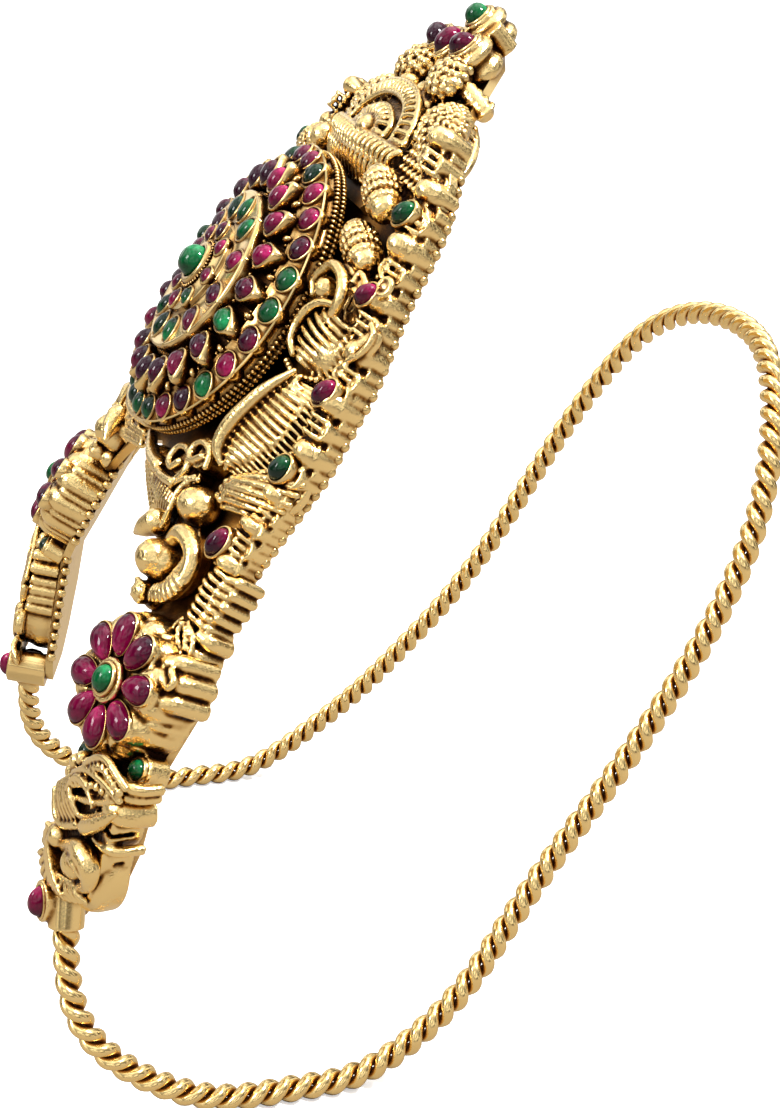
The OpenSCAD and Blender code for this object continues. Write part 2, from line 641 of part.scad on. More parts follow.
color(GOLD) on_left() scrolls();  // left_scrolls
color(GOLD) trunk();  // right_trunk
color(GOLD) on_left() trunk();  // left_trunk
color(GOLD) ridges();  // right_ridges
color(GOLD) on_left() ridges();  // left_ridges
color(GOLD) flower();  // right_flower
color(GOLD) on_left() flower();  // left_flower
color(RUBY) petals();  // right_petals
color(RUBY) on_left() petals();  // left_petals
color(EMERALD) flower_centre();  // right_flower_centre
color(EMERALD) on_left() flower_centre();  // left_flower_centre
color(EMERALD) leg_emeralds();  // right_leg_emeralds
color(EMERALD) on_left() leg_emeralds();  // left_leg_emeralds
color(GOLD) foot_head();  // right_foot_head
color(GOLD) on_left() foot_head();  // left_foot_head
color(GOLD) foot_wall();  // right_foot_wall
color(GOLD) on_left() foot_wall();  // left_foot_wall
color(GOLD) end_cup();  // right_end_cup
color(GOLD) on_left() end_cup();  // left_end_cup
color(RUBY) end_ruby();  // right_end_ruby
color(RUBY) on_left() end_ruby();  // left_end_ruby
strand_a();
strand_b();
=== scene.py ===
"""An upper-arm ornament: a cast, stone-set front on a twisted rope, standing on a pale floor.

Lengths are millimetres in the CAD model's frame until a mesh is turned into an object.
"""

import json
import logging
import math
from collections.abc import Callable, Sequence
from dataclasses import dataclass
from enum import Enum

import bmesh
import bpy
import numpy as np
from mathutils import Matrix, Vector

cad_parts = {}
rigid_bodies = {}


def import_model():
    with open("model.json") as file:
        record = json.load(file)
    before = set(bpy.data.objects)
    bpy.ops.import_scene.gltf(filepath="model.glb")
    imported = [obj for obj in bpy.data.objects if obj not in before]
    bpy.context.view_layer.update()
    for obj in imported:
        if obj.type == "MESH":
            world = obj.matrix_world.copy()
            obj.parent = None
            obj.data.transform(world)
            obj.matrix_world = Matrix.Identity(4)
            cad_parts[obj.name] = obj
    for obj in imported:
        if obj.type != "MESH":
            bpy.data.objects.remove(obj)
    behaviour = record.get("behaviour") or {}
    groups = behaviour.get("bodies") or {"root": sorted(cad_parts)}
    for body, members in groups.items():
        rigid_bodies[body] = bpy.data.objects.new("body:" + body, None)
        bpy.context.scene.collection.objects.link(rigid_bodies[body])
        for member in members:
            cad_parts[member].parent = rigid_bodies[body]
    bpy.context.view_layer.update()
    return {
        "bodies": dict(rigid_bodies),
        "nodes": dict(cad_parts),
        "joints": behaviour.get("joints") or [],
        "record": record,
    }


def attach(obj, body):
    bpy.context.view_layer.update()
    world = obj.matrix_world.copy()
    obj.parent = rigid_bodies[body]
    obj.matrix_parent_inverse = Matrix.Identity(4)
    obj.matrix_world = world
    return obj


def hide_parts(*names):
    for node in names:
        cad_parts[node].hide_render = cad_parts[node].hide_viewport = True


log = logging.getLogger("armlet")

METRE = 0.001

Point = tuple[float, float, float]
Path = Sequence[Point]
Colour = tuple[float, float, float]


class Slot(Enum):
    """Material slots of the CAD record."""

    CAST = "cast_gold"
    SHEET = "sheet_gold"
    ROPE = "rope_gold"
    RUBY = "ruby"
    EMERALD = "emerald"


# Places: the frames that the CAD model's parts lie in

FRONT_LEAN = 37
CURVE_R = 88
SEAT = -3.94


def turned(x: float = 0, y: float = 0, z: float = 0) -> Matrix:
    """Rotation by degrees round X, then Y, then Z."""
    return (
        Matrix.Rotation(math.radians(z), 4, "Z")
        @ Matrix.Rotation(math.radians(y), 4, "Y")
        @ Matrix.Rotation(math.radians(x), 4, "X")
    )


def moved(x: float, y: float, z: float) -> Matrix:
    """Shift by a vector."""
    return Matrix.Translation((x, y, z))


ON_FRONT = moved(0, -17.5, 82) @ turned(90 - FRONT_LEAN)
ON_CREST = ON_FRONT @ moved(0, 17, -2) @ turned(-14)
ON_LEG = ON_FRONT @ moved(29.2, -35.4, -4.6) @ turned(5, 18.5)
ON_FOOT = ON_FRONT @ moved(28, -46, -6.1) @ turned(25, 18.5)


class Place:
    """A flat frame of the front, reached by a matrix."""

    def __init__(self, matrix: Matrix) -> None:
        """Keeps the frame's matrix."""
        self.matrix = matrix

    def at(self, x: float, y: float, h: float = 0, turn: float = 0) -> Matrix:
        """Local frame at a point, turned in the plane by degrees."""
        return self.matrix @ moved(x, y, h) @ turned(z=turn)

    def points(self, local: np.ndarray) -> np.ndarray:
        """Points of the frame, in the CAD frame."""
        m = np.array(self.matrix)
        return local @ m[:3, :3].T + m[:3, 3]

    def local(self, points: np.ndarray) -> np.ndarray:
        """Points of the CAD frame, in this frame."""
        m = np.array(self.matrix.inverted())
        return points @ m[:3, :3].T + m[:3, 3]


class CurvedPlace(Place):
    """The front's curved face: s along the curve, u up the front, h out of it."""

    def at(self, x: float, y: float, h: float = 0, turn: float = 0) -> Matrix:
        """Local frame at s, u and h, turned in the face by degrees."""
        return (
            self.matrix
            @ moved(0, 0, -CURVE_R)
            @ turned(y=math.degrees(x / CURVE_R))
            @ moved(0, y, CURVE_R + h)
            @ turned(z=turn)
        )

    def points(self, local: np.ndarray) -> np.ndarray:
        """Points of the face, in the CAD frame.

        Args:
            local: Points as s, u and h, one row each.

        Returns:
            The same points in the CAD frame.
        """
        angle = local[:, 0] / CURVE_R
        r = CURVE_R + local[:, 2]
        flat = np.column_stack([r * np.sin(angle), local[:, 1], r * np.cos(angle) - CURVE_R])
        return super().points(flat)

    def local(self, points: np.ndarray) -> np.ndarray:
        """Points of the CAD frame, as s, u and h."""
        x, y, z = super().local(points).T
        return np.column_stack([CURVE_R * np.arctan2(x, z + CURVE_R), y, np.hypot(x, z + CURVE_R) - CURVE_R])


CREST = Place(ON_CREST)
LEG = Place(ON_LEG)
FOOT = Place(ON_FOOT)
CURVE = CurvedPlace(ON_FRONT)


# Meshes


def smooth_path(path: Path, steps: int = 5) -> np.ndarray:
    """Points along a smooth curve through the given ones.

    Args:
        path: Points the curve passes through.
        steps: Pieces between two of them.

    Returns:
        The curve's points, one row each.
    """
    p = np.array(path, float)
    if len(p) < 3:
        t = np.linspace(0, 1, steps + 1)[:, None]
        return p[0] * (1 - t) + p[-1] * t
    ends = np.vstack([2 * p[0] - p[1], p, 2 * p[-1] - p[-2]])
    out = []
    for a, b, c, d in zip(ends, ends[1:], ends[2:], ends[3:]):
        t = np.linspace(0, 1, steps, endpoint=False)[:, None]
        out.append(
            0.5 * (2 * b + (c - a) * t + (2 * a - 5 * b + 4 * c - d) * t**2 + (3 * b - a - 3 * c + d) * t**3)
        )
    return np.vstack([*out, p[-1:]])


def run_lengths(line: np.ndarray) -> np.ndarray:
    """How far along a line each of its points lies."""
    return np.concatenate([[0], np.cumsum(np.linalg.norm(np.diff(line, axis=0), axis=1))])


def spaced(line: np.ndarray, shares: np.ndarray) -> np.ndarray:
    """Points at the given shares of a line's length."""
    d = run_lengths(line)
    return np.column_stack([np.interp(shares * d[-1], d, line[:, k]) for k in range(3)])


def along(path: Path, shares: np.ndarray) -> np.ndarray:
    """Points at the given shares of a smooth path's length."""
    return spaced(smooth_path(path), shares)


# Rings of a tube's blunt end: how far past the end and how wide, in radii
BLUNT = [(0.8, 0.55), (0.5, 0.85)]
# A direction that no tube sets out in
ASKEW = (0.3, 0.9, 0.31)


class Shape:
    """A mesh being put together."""

    def __init__(self) -> None:
        """Starts empty."""
        self.vertices: list[np.ndarray] = []
        self.faces: list[list[int]] = []
        self.glow: list[np.ndarray] = []
        self.count = 0

    def add(self, points: np.ndarray, faces: list, glow: np.ndarray | None = None) -> None:
        """Adds points and the faces between them.

        Args:
            points: New points, one row each.
            faces: Faces, counted from the first new point.
            glow: A stone's painted inner glow at each point.
        """
        self.faces += [[i + self.count for i in face] for face in faces]
        self.vertices.append(points)
        self.glow.append(np.zeros(len(points)) if glow is None else glow)
        self.count += len(points)

    def loft(self, rings: np.ndarray, closed: bool = False, glow: np.ndarray | None = None) -> None:
        """Skins rings of points, capped at both ends unless it runs round to its start.

        Args:
            rings: Points by ring, side and axis, each ring anticlockwise seen from ahead.
            closed: Whether the last ring meets the first.
            glow: A stone's painted inner glow at each point.
        """
        count, sides = rings.shape[:2]
        faces = []
        for i in range(count if closed else count - 1):
            a, b = i * sides, (i + 1) % count * sides
            for k in range(sides):
                m = (k + 1) % sides
                faces.append([a + k, a + m, b + m, b + k])
        if not closed:
            faces += [list(range(sides))[::-1], list(range((count - 1) * sides, count * sides))]
        self.add(rings.reshape(-1, 3), faces, None if glow is None else glow.reshape(-1))

    def tube(self, line: np.ndarray, radii: np.ndarray, sides: int = 8, blunt: bool = True) -> None:
        """Sweeps a circle along a line.

        Args:
            line: The centre line's points.
            radii: Radius at each point.
            sides: Sides of the circle.
            blunt: Whether the ends are rounded off.
        """
        t = np.gradient(line, axis=0)
        t /= np.linalg.norm(t, axis=1)[:, None]
        if blunt:
            first = [line[0] - t[0] * radii[0] * far for far, _ in BLUNT]
            last = [line[-1] + t[-1] * radii[-1] * far for far, _ in BLUNT[::-1]]
            line = np.vstack([*first, line, *last])
            t = np.vstack([t[0], t[0], t, t[-1], t[-1]])
            radii = np.concatenate([
                [radii[0] * wide for _, wide in BLUNT], radii, [radii[-1] * wide for _, wide in BLUNT[::-1]]
            ])
        n = np.cross(t[0], ASKEW)
        turn = np.linspace(0, 2 * math.pi, sides, endpoint=False)
        rings = []
        for p, d, r in zip(line, t, radii):
            n = n - n.dot(d) * d
            n /= np.linalg.norm(n)
            b = np.cross(d, n)
            rings.append(p + r * (np.outer(np.cos(turn), n) + np.outer(np.sin(turn), b)))
        self.loft(np.array(rings))

    def ball(self, centre: np.ndarray, r: float | np.ndarray, sides: int = 10) -> None:
        """Adds a ball.

        Args:
            centre: Its middle.
            r: Its radius, or three along the axes.
            sides: Sides round it.
        """
        tilt = np.linspace(-math.pi / 2, math.pi / 2, sides // 2 + 3)[1:-1]
        turn = np.linspace(0, 2 * math.pi, sides, endpoint=False)
        rings = [
            np.column_stack([np.cos(a) * np.cos(turn), np.cos(a) * np.sin(turn), np.full(sides, np.sin(a))])
            for a in tilt
        ]
        self.loft(np.array(rings) * r + np.asarray(centre))

    def revolve(self, profile: Sequence[tuple[float, float]], sides: int) -> None:
        """Turns a profile round Z.

        Args:
            profile: Radii and heights, from the bottom's middle to the top's.
            sides: Sides round it.
        """
        turn = np.linspace(0, 2 * math.pi, sides, endpoint=False)
        self.loft(np.array([
            np.column_stack([r * np.cos(turn), r * np.sin(turn), np.full(sides, z)]) for r, z in profile
        ]))

    def mesh(self, name: str) -> bpy.types.Mesh:
        """The shape as a mesh, still in millimetres.

        Args:
            name: The mesh's name.

        Returns:
            The mesh, with its painted inner glow as an attribute.
        """
        mesh = bpy.data.meshes.new(name)
        mesh.from_pydata(np.vstack(self.vertices).tolist(), [], self.faces)
        glow = mesh.attributes.new("glow", "FLOAT", "POINT")
        glow.data.foreach_set("value", np.concatenate(self.glow))
        mesh.update()
        return mesh


def oval(length: float, width: float, tip: float = 0, sides: int = 28) -> np.ndarray:
    """Outline of an oval in the plane.

    Args:
        length: Its length, along Y.
        width: Its width.
        tip: How far its +Y end is drawn in to a point.
        sides: How many points it has.

    Returns:
        The points, one row each.
    """
    a = np.linspace(0, 2 * math.pi, sides, endpoint=False)
    x = -width / 2 * np.sin(a) * (1 - tip * (1 + np.cos(a)) / 2)
    return np.column_stack([x, length / 2 * np.cos(a), np.zeros(sides)])


# A stone's levels: share of its outline and of its height
STONE_LEVELS = [
    (1, 0), (1, 0.25), (0.97, 0.4), (0.9, 0.58), (0.78, 0.75), (0.62, 0.88), (0.45, 0.965), (0.34, 1),
]


def stone_shape(length: float, width: float, height: float, tip: float = 0) -> Shape:
    """A domed stone with a small table, long in Y, with a glow painted towards one side.

    Args:
        length: Its length.
        width: Its width.
        height: Its height.
        tip: How far its +Y end is drawn in to a point.

    Returns:
        The stone, its base on z = 0.
    """
    outline = oval(length, width, tip)
    rings = np.array([outline * s + [0, 0, height * z] for s, z in STONE_LEVELS])
    shape = Shape()
    # Painted glow of light through the stone: 0 at its -Y end, rising to 1 at its +Y end
    shape.loft(rings, glow=rings[:, :, 1] / length + 0.5)
    return shape


def bezel_shape(length: float, width: float, depth: float, wall: float = 0.3, tip: float = 0,
                lip: float = 0.3, point: float = 0) -> Shape:
    """A rim round a stone, its stone's base on z = 0.

    Args:
        length: The stone's length.
        width: The stone's width.
        depth: How far the rim reaches down.
        wall: The rim's thickness.
        tip: How far the stone's +Y end is drawn in to a point.
        lip: How far the rim reaches up round the stone.
        point: How far the rim's +Y end is drawn out to a point.

    Returns:
        The rim.
    """
    steps = [(wall + 0.05, -depth), (wall, lip * 0.55), (wall * 0.8, lip * 0.85), (wall * 0.45, lip),
             (0.02, lip * 0.9), (-0.1, lip * 0.5), (-0.08, -depth)]
    rings = np.array([oval(length + 2 * w, width + 2 * w, tip) + [0, 0, z] for w, z in steps])
    rings[:, :, 1] += point * np.maximum(0, rings[:, :, 1] / length * 2) ** 6 / 2
    shape = Shape()
    shape.loft(rings, closed=True)
    return shape


# Node trees


class Nodes:
    """A node tree with one way of making nodes."""

    def __init__(self, tree: bpy.types.NodeTree) -> None:
        """Keeps the tree."""
        self.tree = tree

    def make(self, kind: str, inputs: dict | None = None, **settings: object) -> bpy.types.Node:
        """Makes a node.

        Args:
            kind: The node's type.
            inputs: Sockets to link, or values to set, by the input's name or number.
            settings: The node's own settings.

        Returns:
            The node.
        """
        node = self.tree.nodes.new(kind)
        for key, value in settings.items():
            setattr(node, key, value)
        for key, value in (inputs or {}).items():
            socket = node.inputs[key]
            if isinstance(value, Value):
                value = value.socket
            if isinstance(value, bpy.types.NodeSocket):
                self.tree.links.new(value, socket)
            else:
                socket.default_value = value
        return node


@dataclass(frozen=True)
class Value:
    """A number in a shader that can be added and multiplied."""

    nodes: Nodes
    socket: bpy.types.NodeSocket

    def _result(self, operation: str, first: object, second: object) -> "Value":
        """The result of an operation on two numbers."""
        node = self.nodes.make("ShaderNodeMath", {0: first, 1: second}, operation=operation)
        return Value(self.nodes, node.outputs[0])

    def __add__(self, other: object) -> "Value":
        """Sum."""
        return self._result("ADD", self, other)

    def __radd__(self, other: object) -> "Value":
        """Sum with a plain number in front."""
        return self._result("ADD", other, self)

    def __sub__(self, other: object) -> "Value":
        """Difference."""
        return self._result("SUBTRACT", self, other)

    def __rsub__(self, other: object) -> "Value":
        """Difference with a plain number in front."""
        return self._result("SUBTRACT", other, self)

    def __mul__(self, other: object) -> "Value":
        """Product."""
        return self._result("MULTIPLY", self, other)

    def __rmul__(self, other: object) -> "Value":
        """Product with a plain number in front."""
        return self._result("MULTIPLY", other, self)

    def between(self, low: float, high: float, to_low: float = 0, to_high: float = 1) -> "Value":
        """This number carried smoothly from one range to another.

        Args:
            low: Low end of its range.
            high: High end of its range.
            to_low: What the low end becomes.
            to_high: What the high end becomes.

        Returns:
            The new number.
        """
        node = self.nodes.make(
            "ShaderNodeMapRange",
            {"Value": self, "From Min": low, "From Max": high, "To Min": to_low, "To Max": to_high},
            interpolation_type="SMOOTHSTEP",
        )
        return Value(self.nodes, node.outputs["Result"])

    def mix(self, low: object, high: object) -> bpy.types.NodeSocket:
        """A colour between two, by this number.

        Args:
            low: Colour at 0.
            high: Colour at 1.

        Returns:
            The mixed colour's socket.
        """
        low, high = ((*c, 1) if isinstance(c, tuple) else c for c in (low, high))
        node = self.nodes.make("ShaderNodeMix", {0: self, 6: low, 7: high}, data_type="RGBA")
        return node.outputs[2]


class Shader(Nodes):
    """The shader of one material."""

    def __init__(self, name: str, **constants: object) -> None:
        """Makes the material and its surface.

        Args:
            name: The material's name.
            constants: Values of the surface's inputs, by their names with underscores for spaces.
        """
        self.material = bpy.data.materials.new(name)
        self.material.use_nodes = True
        super().__init__(self.material.node_tree)
        self.tree.nodes.clear()
        self.surface = self.make(
            "ShaderNodeBsdfPrincipled", {k.replace("_", " "): v for k, v in constants.items()}
        )
        self.make("ShaderNodeOutputMaterial", {"Surface": self.surface.outputs[0]})
        self.place = self.make("ShaderNodeTexCoord").outputs["Object"]

    def noise(self, size: float, detail: float = 2) -> Value:
        """Soft noise from 0 to 1.

        Args:
            size: Size of its spots, in millimetres.
            detail: How many finer layers it has.

        Returns:
            The noise.
        """
        values = {"Vector": self.place, "Scale": 1 / (size * METRE), "Detail": detail}
        node = self.make("ShaderNodeTexNoise", values)
        return Value(self, node.outputs[0])

    def cells(self, size: float) -> Value:
        """Round granules of a size in millimetres, from 0 between them to about 1."""
        node = self.make("ShaderNodeTexVoronoi", {"Vector": self.place, "Scale": 1 / (size * METRE)})
        return 1 - 1.6 * Value(self, node.outputs["Distance"])

    def attribute(self, name: str) -> Value:
        """A number stored on the mesh."""
        return Value(self, self.make("ShaderNodeAttribute", attribute_name=name).outputs["Fac"])

    def openness(self, reach: float) -> Value:
        """How open the surface is within a reach in millimetres, from 0 in a recess to 1."""
        node = self.make("ShaderNodeAmbientOcclusion", {"Distance": reach * METRE}, samples=6)
        return Value(self, node.outputs["AO"])

    def feed(self, name: str, socket: object) -> None:
        """Links a value to one of the surface's inputs."""
        self.tree.links.new(socket.socket if isinstance(socket, Value) else socket, self.surface.inputs[name])


@dataclass(frozen=True)
class Metal:
    """How a gold surface looks, from its recesses, darkened by brown patina and painted shade, to where it
    lies open.
    """

    name: str
    # bright is the open metal; warm and dark are brown patina with painted shade, near black in the deepest
    # recesses
    bright: Colour = (1.0, 0.74, 0.32)
    warm: Colour = (0.45, 0.19, 0.03)
    dark: Colour = (0.016, 0.005, 0.002)
    # reach and recess: how far the occlusion looks and how strongly the stored recess depth paints patina and
    # shade
    reach: float = 2.0
    recess: float = 5
    cloud_size: float = 2.2
    cloud: float = 0.3
    warms: tuple[float, float] = (0.42, 0.85)
    brightens: tuple[float, float] = (0.68, 1.0)
    smooths: tuple[float, float] = (0.2, 0.85)
    shine: float = 0.18
    dull: float = 0.5
    grain: float = 0.3
    relief: float = 0.3
    relief_depth: float = 0.09
    granules: float = 0
    granule_size: float = 0.5
    patch_size: float = 1.6

    def material(self) -> bpy.types.Material:
        """Builds the material: bright where open, dull in its recesses and darkened there by brown patina and
        painted shade.

        Returns:
            The material.
        """
        shader = Shader(self.name, Metallic=1.0)
        cloud = (shader.noise(self.cloud_size, 3) - 0.5) * self.cloud
        # Occlusion and recess depth paint brown patina and shade into the recesses
        patina_and_shade_mask = shader.openness(self.reach) - shader.attribute("recess") * self.recess + cloud
        shade = patina_and_shade_mask.between(*self.warms).mix(self.dark, self.warm)
        shader.feed("Base Color", patina_and_shade_mask.between(*self.brightens).mix(shade, self.bright))
        shader.feed("Roughness", patina_and_shade_mask.between(*self.smooths, self.dull, self.shine))
        height = shader.noise(self.grain, 3)
        if self.granules:
            patches = shader.noise(self.patch_size).between(0.42, 0.62) * self.granules
            height = height + shader.cells(self.granule_size) * (patches + patina_and_shade_mask.between(0.75, 0.35))
        bump = shader.make(
            "ShaderNodeBump",
            {"Height": height, "Distance": self.relief_depth * METRE, "Strength": self.relief},
        )
        shader.feed("Normal", bump.outputs["Normal"])
        return shader.material


@dataclass(frozen=True)
class Gem:
    """How a stone looks."""

    name: str
    # deep and lit are the stone's dark and brighter colours; pale is the brightest spot of its painted glow
    deep: Colour
    lit: Colour
    pale: Colour
    roughness: float = 0.07
    ior: float = 1.42
    body_size: float = 0.8
    lights: tuple[float, float] = (0.0, 0.85)
    spot_size: float = 0.5
    pales: tuple[float, float] = (1.0, 1.5)

    def material(self) -> bpy.types.Material:
        """Builds the material: a dark glossy stone with a painted inner glow at one side.

        Returns:
            The material.
        """
        shader = Shader(self.name, Roughness=self.roughness, IOR=self.ior)
        shade = shader.attribute("shade")
        glow = shader.attribute("glow")
        # Painted inner glow: the stored glow, with a random tone per stone and noise, lifts the colour from
        # deep to lit, and near the glow's peak to pale
        body = glow * 0.8 + shade * 0.8 - 0.5 + (shader.noise(self.body_size) - 0.5) * 0.9
        spot = glow + shade * 0.4 + (shader.noise(self.spot_size) - 0.5) * 0.6
        lit = spot.between(*self.pales).mix(self.lit, self.pale)
        shader.feed("Base Color", body.between(*self.lights).mix(self.deep, lit))
        return shader.material


class Finishes:
    """The materials, built once."""

    def __init__(self) -> None:
        """Builds them all."""
        self.cast = Metal("cast_gold", granules=0.8, relief=0.55).material()
        self.smooth = Metal("smooth_gold", relief=0.08, reach=1.6).material()
        self.sheet = Metal("sheet_gold", relief=0.12, shine=0.3, reach=3).material()
        # The rope's gaps between strands get a lighter brown patina and painted shade
        self.rope = Metal(
            "rope_gold", relief=0.04, reach=0.5, warm=(0.85, 0.5, 0.16), dark=(0.3, 0.13, 0.03)
        ).material()
        self.ruby = Gem("ruby", (0.02, 0.0, 0.008), (0.17, 0.0, 0.035), (0.5, 0.01, 0.13)).material()
        self.emerald = Gem("emerald", (0.0, 0.012, 0.004), (0.0, 0.1, 0.025), (0.01, 0.32, 0.1)).material()


SHARP_ANGLE = 50


class Tools:
    """Turns shapes into the finished pieces' meshes."""

    def __init__(self) -> None:
        """Builds the geometry trees."""
        self.scatter_tree = self._scatter()
        self.cast_tree = self._cast()

    def _group(self, name: str, inputs: dict[str, str]) -> Nodes:
        """An empty geometry tree with a geometry and the named inputs.

        Args:
            name: The tree's name.
            inputs: Socket types by the inputs' names.

        Returns:
            The tree.
        """
        tree = bpy.data.node_groups.new(name, "GeometryNodeTree")
        tree.interface.new_socket("Geometry", in_out="INPUT", socket_type="NodeSocketGeometry")
        for key, kind in inputs.items():
            tree.interface.new_socket(key, in_out="INPUT", socket_type=kind)
        tree.interface.new_socket("Geometry", in_out="OUTPUT", socket_type="NodeSocketGeometry")
        return Nodes(tree)

    def _finish(self, nodes: Nodes, geometry: bpy.types.NodeSocket, start: bpy.types.Node) -> None:
        """Ends a tree with smooth shading and the finish from its inputs.

        Args:
            nodes: The tree.
            geometry: What it has made.
            start: The node of its inputs.
        """
        smooth = nodes.make("GeometryNodeSetShadeSmooth", {"Geometry": geometry})
        painted = nodes.make(
            "GeometryNodeSetMaterial", {"Geometry": smooth.outputs[0], "Material": start.outputs["Finish"]}
        )
        nodes.make("NodeGroupOutput", {"Geometry": painted.outputs[0]})

    def _scatter(self) -> bpy.types.NodeTree:
        """A tree that sets a template at every point, by the points' turn and size.

        Returns:
            The tree.
        """
        nodes = self._group("scatter", {"Template": "NodeSocketObject", "Finish": "NodeSocketMaterial"})
        start = nodes.make("NodeGroupInput")
        template = nodes.make("GeometryNodeObjectInfo", {"Object": start.outputs["Template"]})
        turn, size = (
            nodes.make("GeometryNodeInputNamedAttribute", {"Name": key}, data_type="FLOAT_VECTOR").outputs[0]
            for key in ("turn", "size")
        )
        set_out = nodes.make(
            "GeometryNodeInstanceOnPoints",
            {"Points": start.outputs["Geometry"], "Instance": template.outputs["Geometry"],
             "Rotation": turn, "Scale": size},
        )
        real = nodes.make("GeometryNodeRealizeInstances", {"Geometry": set_out.outputs[0]})
        self._finish(nodes, real.outputs[0], start)
        return nodes.tree

    def _cast(self) -> bpy.types.NodeTree:
        """A tree that softens a casting and stores how deep each point lies between its neighbours.

        Returns:
            The tree.
        """
        nodes = self._group("cast", {"Finish": "NodeSocketMaterial", "Spread": "NodeSocketInt"})
        start = nodes.make("NodeGroupInput")
        place = nodes.make("GeometryNodeInputPosition").outputs[0]
        soft = nodes.make("GeometryNodeBlurAttribute", {"Value": place, "Iterations": 1},
                          data_type="FLOAT_VECTOR")
        eased = nodes.make("GeometryNodeSetPosition",
                           {"Geometry": start.outputs["Geometry"], "Position": soft.outputs[0]})
        wide = nodes.make("GeometryNodeBlurAttribute",
                          {"Value": place, "Iterations": start.outputs["Spread"]}, data_type="FLOAT_VECTOR")
        lift = nodes.make("ShaderNodeVectorMath", {0: wide.outputs[0], 1: place}, operation="SUBTRACT")
        normal = nodes.make("GeometryNodeInputNormal").outputs[0]
        depth = nodes.make("ShaderNodeVectorMath", {0: lift.outputs[0], 1: normal}, operation="DOT_PRODUCT")
        stored = nodes.make(
            "GeometryNodeStoreNamedAttribute",
            {"Geometry": eased.outputs[0], "Name": "recess", "Value": depth.outputs["Value"]},
            data_type="FLOAT", domain="POINT",
        )
        self._finish(nodes, stored.outputs[0], start)
        return nodes.tree

    def _run(self, mesh: bpy.types.Mesh, tree: bpy.types.NodeTree, values: dict[str, object],
             voxel: float = 0) -> bpy.types.Mesh:
        """A mesh after a geometry tree.

        Args:
            mesh: The mesh to start from.
            tree: The geometry tree.
            values: Values of the tree's inputs by name.
            voxel: Size of the voxels that fuse the mesh first, or 0.

        Returns:
            The result as a plain mesh.
        """
        holder = bpy.data.objects.new(mesh.name, mesh)
        bpy.context.collection.objects.link(holder)
        if voxel:
            fused = holder.modifiers.new("fuse", "REMESH")
            fused.mode = "VOXEL"
            fused.voxel_size = voxel
        step = holder.modifiers.new(tree.name, "NODES")
        step.node_group = tree
        sockets = {s.name: s.identifier for s in tree.interface.items_tree if s.in_out == "INPUT"}
        for key, value in values.items():
            step[sockets[key]] = value
        bpy.context.view_layer.update()
        graph = bpy.context.evaluated_depsgraph_get()
        result = bpy.data.meshes.new_from_object(holder.evaluated_get(graph))
        bpy.data.objects.remove(holder)
        result.materials.clear()
        result.materials.append(values["Finish"])
        result.polygons.foreach_set("material_index", np.zeros(len(result.polygons), int))
        return result

    def scatter(self, name: str, template: Shape, frames: Sequence[Matrix], finish: bpy.types.Material,
                shades: Sequence[float] | None = None, sizes: Sequence[float] | None = None,
                ) -> bpy.types.Mesh:
        """Sets a template at every frame.

        Args:
            name: The new mesh's name.
            template: The shape to repeat.
            frames: Where it goes.
            finish: The material.
            shades: Brightness of each copy, from 0 to 1.
            sizes: Scale of each copy.

        Returns:
            The copies as one mesh.
        """
        points = bpy.data.meshes.new(name)
        points.from_pydata([m.translation for m in frames], [], [])
        turns = points.attributes.new("turn", "FLOAT_VECTOR", "POINT")
        turns.data.foreach_set("vector", np.array([m.to_euler() for m in frames]).ravel())
        size = points.attributes.new("size", "FLOAT_VECTOR", "POINT")
        size.data.foreach_set("vector", np.repeat(sizes if sizes is not None else np.ones(len(frames)), 3))
        shade = points.attributes.new("shade", "FLOAT", "POINT")
        shade.data.foreach_set("value", np.array(shades if shades is not None else np.full(len(frames), 0.5)))
        holder = bpy.data.objects.new("template", template.mesh("template"))
        mesh = self._run(points, self.scatter_tree, {"Template": holder, "Finish": finish})
        bpy.data.objects.remove(holder)
        return mesh

    def cast(self, shape: Shape, name: str, finish: bpy.types.Material, voxel: float = 0.15,
             spread: int = 14) -> bpy.types.Mesh:
        """Fuses a shape's lumps into one casting.

        Args:
            shape: The shape.
            name: The new mesh's name.
            finish: The material.
            voxel: Size of the voxels that fuse it.
            spread: How wide round a point its neighbours reach.

        Returns:
            The casting's mesh.
        """
        return self._run(shape.mesh(name), self.cast_tree, {"Finish": finish, "Spread": spread}, voxel)

    @staticmethod
    def plain(shape: Shape, name: str, finish: bpy.types.Material) -> bpy.types.Mesh:
        """A shape's own mesh, smooth, with a finish.

        Args:
            shape: The shape.
            name: The new mesh's name.
            finish: The material.

        Returns:
            The mesh.
        """
        mesh = shape.mesh(name)
        mesh.materials.append(finish)
        mesh.shade_smooth()
        mesh.set_sharp_from_angle(angle=math.radians(SHARP_ANGLE))
        return mesh


